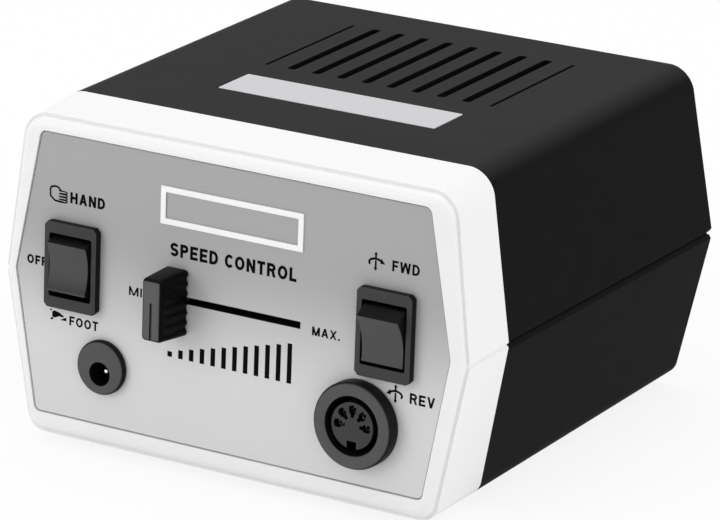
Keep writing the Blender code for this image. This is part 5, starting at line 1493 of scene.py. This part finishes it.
@dataclass(frozen=True)
class Printing:
    """Everything printed on the panel: words, signs, the level bars and the white window frame."""

    thickness: float = 0.04
    layer: float = 0.0005
    words: tuple[Word, ...] = (
        Word("word_hand", "HAND", -46.0, -35.9, 21.5, 2.75, 0.22),
        Word("word_off", "OFF", -58.4, -52.6, 4.1, 2.3, 0.22),
        Word("word_foot", "FOOT", -45.6, -37.2, -9.4, 2.35, 0.20),
        Word("word_speed", "SPEED CONTROL", -16.8, 18.8, 14.0, 3.3, 0.22),
        Word("word_min", "MIN", -28.4, -21.9, 1.5, 2.2, 0.15),
        Word("word_max", "MAX.", 23.6, 31.3, 1.4, 2.15, 0.20),
        Word("word_forward", "FWD", 44.8, 52.2, 21.2, 2.6, 0.20),
        Word("word_reverse", "REV", 50.9, 57.7, -9.8, 2.6, 0.20),
    )
    icons: tuple[tuple[Icon, Point], ...] = (
        (Icon.HAND, (-49.3, 21.9)), (Icon.FOOT, (-48.8, -8.9)), (Icon.FORWARD, (40.3, 21.4)),
        (Icon.REVERSE, (47.0, -9.5)))
    bar_count: int = 12
    bar_start: float = -16.24
    bar_pitch: float = 3.077
    bar_width: float = 1.27
    bar_foot: float = -12.8
    bar_first: float = -11.45
    bar_last: float = -2.96
    window: tuple[float, float, float, float] = (-19.7, 20.5, 19.9, 29.3)
    window_rim: float = 1.5
    window_height: float = 0.45
    stroke: float = 0.48
    palm: tuple[Point, ...] = (
        (0.6, 0.7), (-0.2, 1.5), (-1.1, 1.7), (-2.3, 1.4), (-2.6, 0.8), (-2.5, -0.9), (-1.2, -1.9), (1.2, -2.0))
    fingers: tuple[float, ...] = (0.75, 0.0, -0.72, -1.4)
    sole: tuple[Point, ...] = (
        (-1.9, -0.35), (-1.1, -0.55), (0.2, 0.05), (1.3, -0.1), (1.5, 0.25), (0.2, 0.95), (-1.2, 1.25), (-1.9, 0.9))
    pedal: tuple[Point, ...] = ((0.5, -0.85), (2.3, -0.85), (2.3, 0.05), (1.4, -0.35))

    def lay_ink(self, shape: Shape, name: str) -> None:
        """Makes a piece of black print on the panel."""
        mount(shape.piece(name, Finish.BLACK_INK), Body.CASE, Slot.PANEL)

    def print_word(self, word: Word) -> None:
        """Prints one word so that it fills its room.

        Args:
            word: The word.
        """
        width, strokes = Lettering(word.weight).set_line(word.text)
        scale, low = (word.right - word.left) / width, word.z - word.height / 2
        shape = Shape(FRONT)
        for k, stroke in enumerate(strokes):
            corners = [(word.left + x * scale, low + z * word.height) for x, z in stroke]
            shape.slab(corners, -self.thickness - k * self.layer, 0)
        self.lay_ink(shape, word.name)

    def draw_stroke(self, shape: Shape, points: Sequence[Point], width: float) -> None:
        """Draws one line of even width as short slabs with round joints.

        Args:
            shape: The shape to add to.
            points: The line's corners, as (x, z).
            width: The line's width.
        """
        for k, ((x0, z0), (x1, z1)) in enumerate(zip(points, points[1:]), start=1):
            tilt = Matrix.Rotation(-math.atan2(z1 - z0, x1 - x0), 4, "Y")
            turn = Matrix.Translation(((x0 + x1) / 2, 0, (z0 + z1) / 2)) @ tilt
            corners = box_corners((0, 0), math.hypot(x1 - x0, z1 - z0) + width * 0.7, width)
            shape.slab(corners, -self.thickness - k * self.layer, 0, width * 0.4, 3, turn)

    def draw_hand(self, shape: Shape) -> None:
        """Draws a pointing hand: the palm, then its four fingers.

        Args:
            shape: The shape to add to.
        """
        self.draw_stroke(shape, self.palm, self.stroke * 0.95)
        for z in self.fingers:
            finger = [(0.0, z), (2.0, z - 0.05), (2.4, z - 0.3), (2.1, z - 0.6), (0.4, z - 0.62)]
            self.draw_stroke(shape, finger, self.stroke * 0.65)

    def draw_foot(self, shape: Shape) -> None:
        """Draws a foot on a pedal.

        Args:
            shape: The shape to add to.
        """
        for corners in (self.sole, self.pedal):
            shape.slab(corners, -self.thickness, 0)
        for line in ([(-2.35, 1.35), (-2.25, 1.3)], [(-2.2, -0.95), (-1.7, -0.75)]):
            self.draw_stroke(shape, line, self.stroke)

    def draw_turn(self, shape: Shape, side: int) -> None:
        """Draws an arrow that turns round an upright axis.

        Args:
            shape: The shape to add to.
            side: 1 where it turns forward and -1 where it turns back.
        """
        near = -self.thickness - self.layer / 2
        for head, foot in ((2.0, 0.9), (0.1, -2.0)):
            self.draw_stroke(shape, [(0, head), (0, foot)], self.stroke)
        for tip, back in ((2.3, 1.6), (-2.2, -1.5)):
            arrow = [(-0.5, back), (0.5, back), (0, tip)]
            shape.slab(arrow if tip > 0 else arrow[::-1], near, 0)
        turns = [math.radians(-115 + 22 * k) for k in range(9)]
        arc = [(side * 1.8 * math.sin(a), math.cos(a) - 0.35) for a in turns]
        self.draw_stroke(shape, arc, self.stroke * 1.1)
        x, z = arc[-1]
        shape.slab([(x + side, z - 0.45), (x - side * 0.1, z + 0.75), (x - side * 0.35, z - 0.5)], near, 0)

    def draw_icon(self, icon: Icon, place: Point) -> None:
        """Draws one sign.

        Args:
            icon: The sign.
            place: Its middle, as (x, z).
        """
        shape = Shape(FRONT @ Matrix.Translation((place[0], 0, place[1])))
        if icon is Icon.HAND:
            self.draw_hand(shape)
        elif icon is Icon.FOOT:
            self.draw_foot(shape)
        else:
            self.draw_turn(shape, 1 if icon is Icon.FORWARD else -1)
        self.lay_ink(shape.outward(), f"sign_{icon.value}")

    def bars(self) -> None:
        """Prints the row of level bars, which grow to the right."""
        shape = Shape(FRONT)
        for i in range(self.bar_count):
            top = self.bar_first + (self.bar_last - self.bar_first) * i / (self.bar_count - 1)
            middle = (self.bar_start + i * self.bar_pitch, (self.bar_foot + top) / 2)
            shape.slab(box_corners(middle, self.bar_width, top - self.bar_foot), -self.thickness, 0)
        self.lay_ink(shape, "level_bars")

    def window_frame(self) -> None:
        """Makes the white frame of the display window, slightly raised."""
        left, right, low, high = self.window
        shape = Shape(FRONT)
        face = shape.outline(box_corners(((left + right) / 2, (low + high) / 2), right - left, high - low))
        shape.ring(face, self.window_rim, -self.window_height)
        mount(shape.piece("window_frame", Finish.WHITE_INK, edge=0.3, steps=4), Body.CASE, Slot.PANEL)

    def build(self) -> None:
        """Prints everything."""
        self.window_frame()
        self.bars()
        for word in self.words:
            self.print_word(word)
        for icon, place in self.icons:
            self.draw_icon(icon, place)


@dataclass(frozen=True)
class ControlPanel:
    """The grey panel with its cut-outs, and all that sits on it."""

    half_top: float = 54.5
    half_waist: float = 61.3
    half_base: float = 55.0
    rise: float = 36.7
    waist_rise: float = 1.4
    drop: float = 33.8
    corner: float = 1.5
    thickness: float = 1.0
    cut_depth: float = 6.0
    slot_place: Point = (0.4, 2.0)
    slot: Point = (39.8, 1.75)
    liner_gap: float = 0.04
    liner_depth: float = 3.8
    liner_wall: float = 0.14
    switches: tuple[Switch, ...] = (
        Switch("mode", Body.MODE_ROCKER, -44.3, 0.0),
        Switch("direction", Body.DIRECTION_ROCKER, 44.3, math.radians(14)),
    )
    slider: SpeedSlider = SpeedSlider()
    socket: HandpieceSocket = HandpieceSocket()
    jack: FootJack = FootJack()
    printing: Printing = Printing()

    def corners(self, margin: float = 0.0) -> list[Point]:
        """Gives the panel's outline.

        Args:
            margin: How far outside the panel it lies.

        Returns:
            The six corners.
        """
        return mirrored([
            (self.half_base + margin, -self.drop - margin), (self.half_waist + margin, self.waist_rise),
            (self.half_top + margin, self.rise + margin)])

    def cutouts(self) -> Shape:
        """Gives every hole through the panel and the bezel's web.

        Returns:
            The shape to cut away.
        """
        shape, near, far = Shape(FRONT), -OVERRUN, self.cut_depth
        for switch in self.switches:
            width, height = (size + 2 * SEAT_GAP for size in switch.body_size)
            shape.slab(box_corners((switch.x, switch.z), width, height), near, far)
        for round_part in (self.socket, self.jack):
            shape.drill(round_part.centre, near, far, round_part.barrel + SEAT_GAP, steps=48)
        return shape.slab(box_corners(self.slot_place, *self.slot), near, far)

    def liner(self) -> None:
        """Makes the black sleeve that lines the slider's slot: painted shade that hides the grey walls and parts behind
        it.
        """
        width, height = (size - self.liner_gap for size in self.slot)
        shape = Shape(FRONT)
        face = shape.outline(box_corners(self.slot_place, width, height), self.liner_gap)
        liner = shape.ring(face, self.liner_wall, self.liner_depth).piece("slot_painted_shade", Finish.SHADE_BLACK)
        mount(liner, Body.CASE, Slot.PART)

    def build(self) -> None:
        """Makes the panel and everything on it."""
        self.liner()
        shape = Shape(FRONT)
        shape.outline(self.corners())
        sharp = [v for v in shape.bm.verts if abs(v.co.z - self.waist_rise) > 1]
        shape.pull([shape.round_corners(sharp, self.corner, 5)], self.thickness)
        panel = shape.outward().piece("panel_foil", Finish.FOIL, edge=0.08)
        self.cutouts().cut(panel)
        mount(panel, Body.CASE, Slot.PANEL, "front_panel")
        for part in (self.printing, *self.switches, self.slider, self.socket, self.jack):
            part.build()


# Back


@dataclass(frozen=True)
class Back:
    """The back plate with the fuse holder and the lead's gland."""

    form: CaseForm = CaseForm()
    face: float = 94.5
    thickness: float = 2.0
    fuse: Point = (30.0, 58.0)
    fuse_body: float = 6.0
    fuse_flange: float = 2.0
    fuse_bore: float = 4.8
    fuse_length: float = 26.0
    fuse_floor: float = 1.2
    fuse_outlet: float = 2.0
    cap_plug: Point = (4.0, 6.0)
    cap_height: float = 3.0
    cap_slot: Point = (14.0, 1.2)
    cap_slot_depth: float = 1.0
    knurl_count: int = 20
    knurl_circle: float = 6.1
    knurl_radius: float = 0.55
    knurl_start: float = 0.6
    gland: Point = (-36.0, 22.0)
    gland_body: float = 5.0
    gland_bore: float = 3.1
    gland_flange: float = 1.8
    gland_length: float = 6.0
    gland_ribs: int = 3
    rib_pitch: float = 1.6

    def plate(self) -> None:
        """Makes the back plate."""
        shape = Shape(CASE)
        shape.pull([self.form.lay(shape, self.face - self.thickness, self.form.lining)], self.thickness)
        plate = shape.outward().piece("back_plate", Finish.SHELL, edge=0.25)
        cuts, near, far = Shape(CASE), self.face - self.thickness - OVERRUN, self.face + OVERRUN
        for place, radius in ((self.fuse, self.fuse_body), (self.gland, self.gland_body)):
            cuts.drill(place, near, far, radius + SEAT_GAP, steps=48)
        cuts.cut(plate)
        mount(plate, Body.CASE, Slot.SHELL, "rear_panel")

    def fuse_holder(self) -> float:
        """Turns the fuse holder.

        Returns:
            The depth of its flange's outer face.
        """
        near, tail = self.face + SEAT_GAP, self.face - self.fuse_length
        outer, floor = near + self.fuse_flange, tail + self.fuse_floor
        profile = [
            (self.fuse_bore, outer), (7.3, outer), (7.65, outer - 0.15), (7.8, outer - 0.5), (7.8, near),
            (self.fuse_body, near), (self.fuse_body, tail), (self.fuse_outlet, tail), (self.fuse_outlet, floor),
            (self.fuse_bore, floor)]
        holder = Shape(CASE).turned(profile, self.fuse).piece("fuse_socket", Finish.DARK)
        mount(holder, Body.CASE, Slot.PART, "fuse_holder")
        return outer

    def fuse_cap(self, start: float) -> None:
        """Turns the fuse holder's cap and gives it a coin slot and a knurled rim.

        Args:
            start: Depth of its face on the holder.
        """
        (plug, reach), top = self.cap_plug, start + self.cap_height
        profile = [
            (0, start - reach), (plug - 0.3, start - reach), (plug, start - reach + 0.3), (plug, start),
            (5.5, start), (5.8, start + 0.3), (5.8, start + 2.3), (5.6, start + 2.8), (5.2, top), (0, top)]
        cap = Shape(CASE).turned(profile, self.fuse).piece("fuse_cap_knob", Finish.DARK, edge=0.1)
        slot = box_corners(self.fuse, *self.cap_slot)
        Shape(CASE).slab(slot, top - self.cap_slot_depth, top + OVERRUN).cut(cap)
        knurls, (x, z), reach = Shape(CASE), self.fuse, self.knurl_circle
        for k in range(self.knurl_count):
            turn = math.tau * (k + 0.5) / self.knurl_count
            place = (x + reach * math.cos(turn), z + reach * math.sin(turn))
            knurls.drill(place, start + self.knurl_start, top + OVERRUN, self.knurl_radius, steps=12)
        knurls.cut(cap)
        mount(cap, Body.FUSE_CAP, Slot.PART, "fuse_cap")

    def lead_gland(self) -> None:
        """Turns the gland's collar and ribbed sleeve."""
        near, bore, body = self.face + SEAT_GAP, self.gland_bore, self.gland_body
        outer = near + self.gland_flange
        tip, inner = outer + self.gland_length, self.face - self.thickness - self.gland_length
        profile = [(bore, inner), (bore, tip), (4.3, tip), (4.6, tip - 0.3)]
        for k in range(self.gland_ribs):
            y, taper = tip - 1.2 - self.rib_pitch * k, 0.1 * k
            ribs = ((4.65, 0.35), (4.2, 0.2), (4.2, -0.2), (4.7, -0.35))
            profile += [(radius + taper, y + shift) for radius, shift in ribs]
        profile += [
            (body, outer), (6.8, outer), (7.1, outer - 0.15), (7.2, outer - 0.5), (7.2, near), (body, near),
            (body, inner)]
        gland = Shape(CASE).turned(profile, self.gland).piece("lead_gland", Finish.DARK)
        mount(gland, Body.CASE, Slot.PART, "cord_gland")

    def build(self) -> None:
        """Makes all pieces of the back."""
        self.plate()
        self.fuse_cap(self.fuse_holder() + SEAT_GAP)
        self.lead_gland()


# Carried-over nodes

NODE_FINISHES: dict[Finish, tuple[str, ...]] = {
    Finish.STEEL: (
        "case_screw_", "slide_pot_frame", "slide_pot_screw_", "slider_carriage", "handpiece_socket_nut",
        "foot_jack_nut", "transformer_strap", "strap_screw_",
    ),
    Finish.BRASS: ("mode_seesaw", "mode_terminal_", "direction_seesaw", "direction_terminal_", "slider_wiper"),
    Finish.CORE: ("transformer_core",),
    Finish.WINDING: ("transformer_winding",),
    Finish.BOBBIN: ("transformer_bobbin",),
    Finish.BOARD: ("circuit_board",),
    Finish.SLEEVE: ("smoothing_capacitor",),
    Finish.DARK: ("bridge_rectifier", "power_transistor", "slide_pot_track"),
    Finish.ALUMINIUM: ("heat_sink",),
    Finish.GLASS: ("fuse_link",),
}


def dress_nodes() -> None:
    """Gives every node that still shows its own finish."""
    for finish, starts in NODE_FINISHES.items():
        for name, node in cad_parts.items():
            if name.startswith(starts):
                for slot in node.material_slots:
                    slot.material = finish.material
                log.info("%s is dressed in %s", name, finish.material.name)


# Picture


@dataclass(frozen=True)
class Softbox:
    """One rectangular lamp that looks at the box."""

    name: str
    place: Triple
    width: float
    height: float
    power: float
    target: Triple = (0.0, 0.0, 0.04)

    def build(self) -> None:
        """Hangs the lamp."""
        data = bpy.data.lights.new(self.name, "AREA")
        data.shape = "RECTANGLE"
        data.size, data.size_y, data.energy = self.width, self.height, self.power
        lamp = link(self.name, data)
        lamp.location = self.place
        lamp.rotation_euler = (Vector(self.target) - Vector(self.place)).to_track_quat("-Z", "Y").to_euler()


@dataclass(frozen=True)
class Studio:
    """The floor, the lamps, the white surroundings and the camera."""

    eye: Triple = (0.58829, -0.91117, 0.42371)
    aim: Triple = (0.02436, 0.0, 0.05305)
    roll: float = math.radians(-0.314)
    lens: float = 239.34
    sensor: float = 36.0
    sight: Point = (0.05, 20.0)
    ambient: float = 0.72
    floor_size: float = 4.0
    floor_colour: Colour = (0.96, 0.96, 0.96)
    floor_glow: float = 0.86
    lamps: tuple[Softbox, ...] = (
        Softbox("overhead_lamp", (-0.15, 0.15, 1.3), 1.1, 1.1, 4.6),
        Softbox("front_lamp", (-0.9, -1.3, 0.75), 0.9, 0.9, 5.4),
        Softbox("side_lamp", (1.5, 0.15, 0.55), 0.9, 0.7, 4.5),
    )

    def surroundings(self) -> None:
        """Makes the world: white where it is seen, and even light elsewhere."""
        world = bpy.data.worlds.new("surroundings")
        bpy.context.scene.world = world
        world.use_nodes = True
        tree = world.node_tree
        ground = tree.nodes["Background"]
        ground.inputs["Color"].default_value = (1, 1, 1, 1)
        span = {"Value": self.seen(tree), "To Min": self.ambient, "To Max": 1.0}
        level = add_node(tree, "MapRange", span)
        tree.links.new(level.outputs["Result"], ground.inputs["Strength"])

    @staticmethod
    def seen(tree: bpy.types.NodeTree) -> Socket:
        """Says where a ray comes from the camera, a mirror or through glass.

        Args:
            tree: The nodes to add to.

        Returns:
            1 for such a ray and 0 for any other.
        """
        path = add_node(tree, "LightPath", {})
        total = path.outputs["Is Camera Ray"]
        for name in ("Is Glossy Ray", "Is Transmission Ray"):
            parts = {0: total, 1: path.outputs[name]}
            total = add_node(tree, "Math", parts, operation="ADD", use_clamp=True).outputs[0]
        return total

    def floor(self) -> None:
        """Makes the floor: pale, and lifted to white where it is seen, but for the box's soft shadow."""
        shape = Shape(Matrix.Identity(4))
        bmesh.ops.create_grid(shape.bm, x_segments=1, y_segments=1, size=self.floor_size / 2)
        mesh = shape.finished("studio_floor")
        material = bpy.data.materials.new("floor_paint")
        material.use_nodes = True
        tree = material.node_tree
        tree.nodes.clear()
        paint = add_node(tree, "BsdfDiffuse", {"Color": (*self.floor_colour, 1.0)})
        glow = add_node(tree, "Emission", {"Strength": 1.0})
        share = add_node(tree, "Math", {0: self.seen(tree), 1: self.floor_glow}, operation="MULTIPLY")
        mix = add_node(tree, "MixShader", {0: share.outputs[0], 1: paint.outputs[0], 2: glow.outputs[0]})
        add_node(tree, "OutputMaterial", {0: mix.outputs[0]})
        mesh.materials.append(material)
        link("studio_floor", mesh)

    def camera(self) -> None:
        """Places the camera at the photograph's viewing angle."""
        data = bpy.data.cameras.new("viewpoint")
        data.lens, data.sensor_width = self.lens, self.sensor
        data.clip_start, data.clip_end = self.sight
        camera = link("viewpoint", data)
        eye, aim = CASE_ORIGIN + Vector(self.eye), CASE_ORIGIN + Vector(self.aim)
        forward = (aim - eye).normalized()
        right = forward.cross(Vector((0, 0, 1))).normalized()
        down = forward.cross(right)
        c, s = math.cos(self.roll), math.sin(self.roll)
        right, down = right * c + down * s, down * c - right * s
        camera.matrix_world = Matrix.Translation(eye) @ Matrix((right, -down, -forward)).transposed().to_4x4()
        bpy.context.scene.camera = camera

    def build(self) -> None:
        """Sets up the whole picture."""
        bpy.context.scene.view_settings.view_transform = "Standard"
        self.surroundings()
        self.floor()
        self.camera()
        for lamp in self.lamps:
            lamp.build()
        log.info("studio: %d lamps, ambient light %.2f", len(self.lamps), self.ambient)


def main() -> None:
    """Builds every sub-assembly in order, then the picture."""
    panel = ControlPanel()
    Casing().build()
    FrontBezel().build(panel)
    panel.build()
    Back().build()
    dress_nodes()
    Studio().build()


if __name__ == "__main__":
    main()
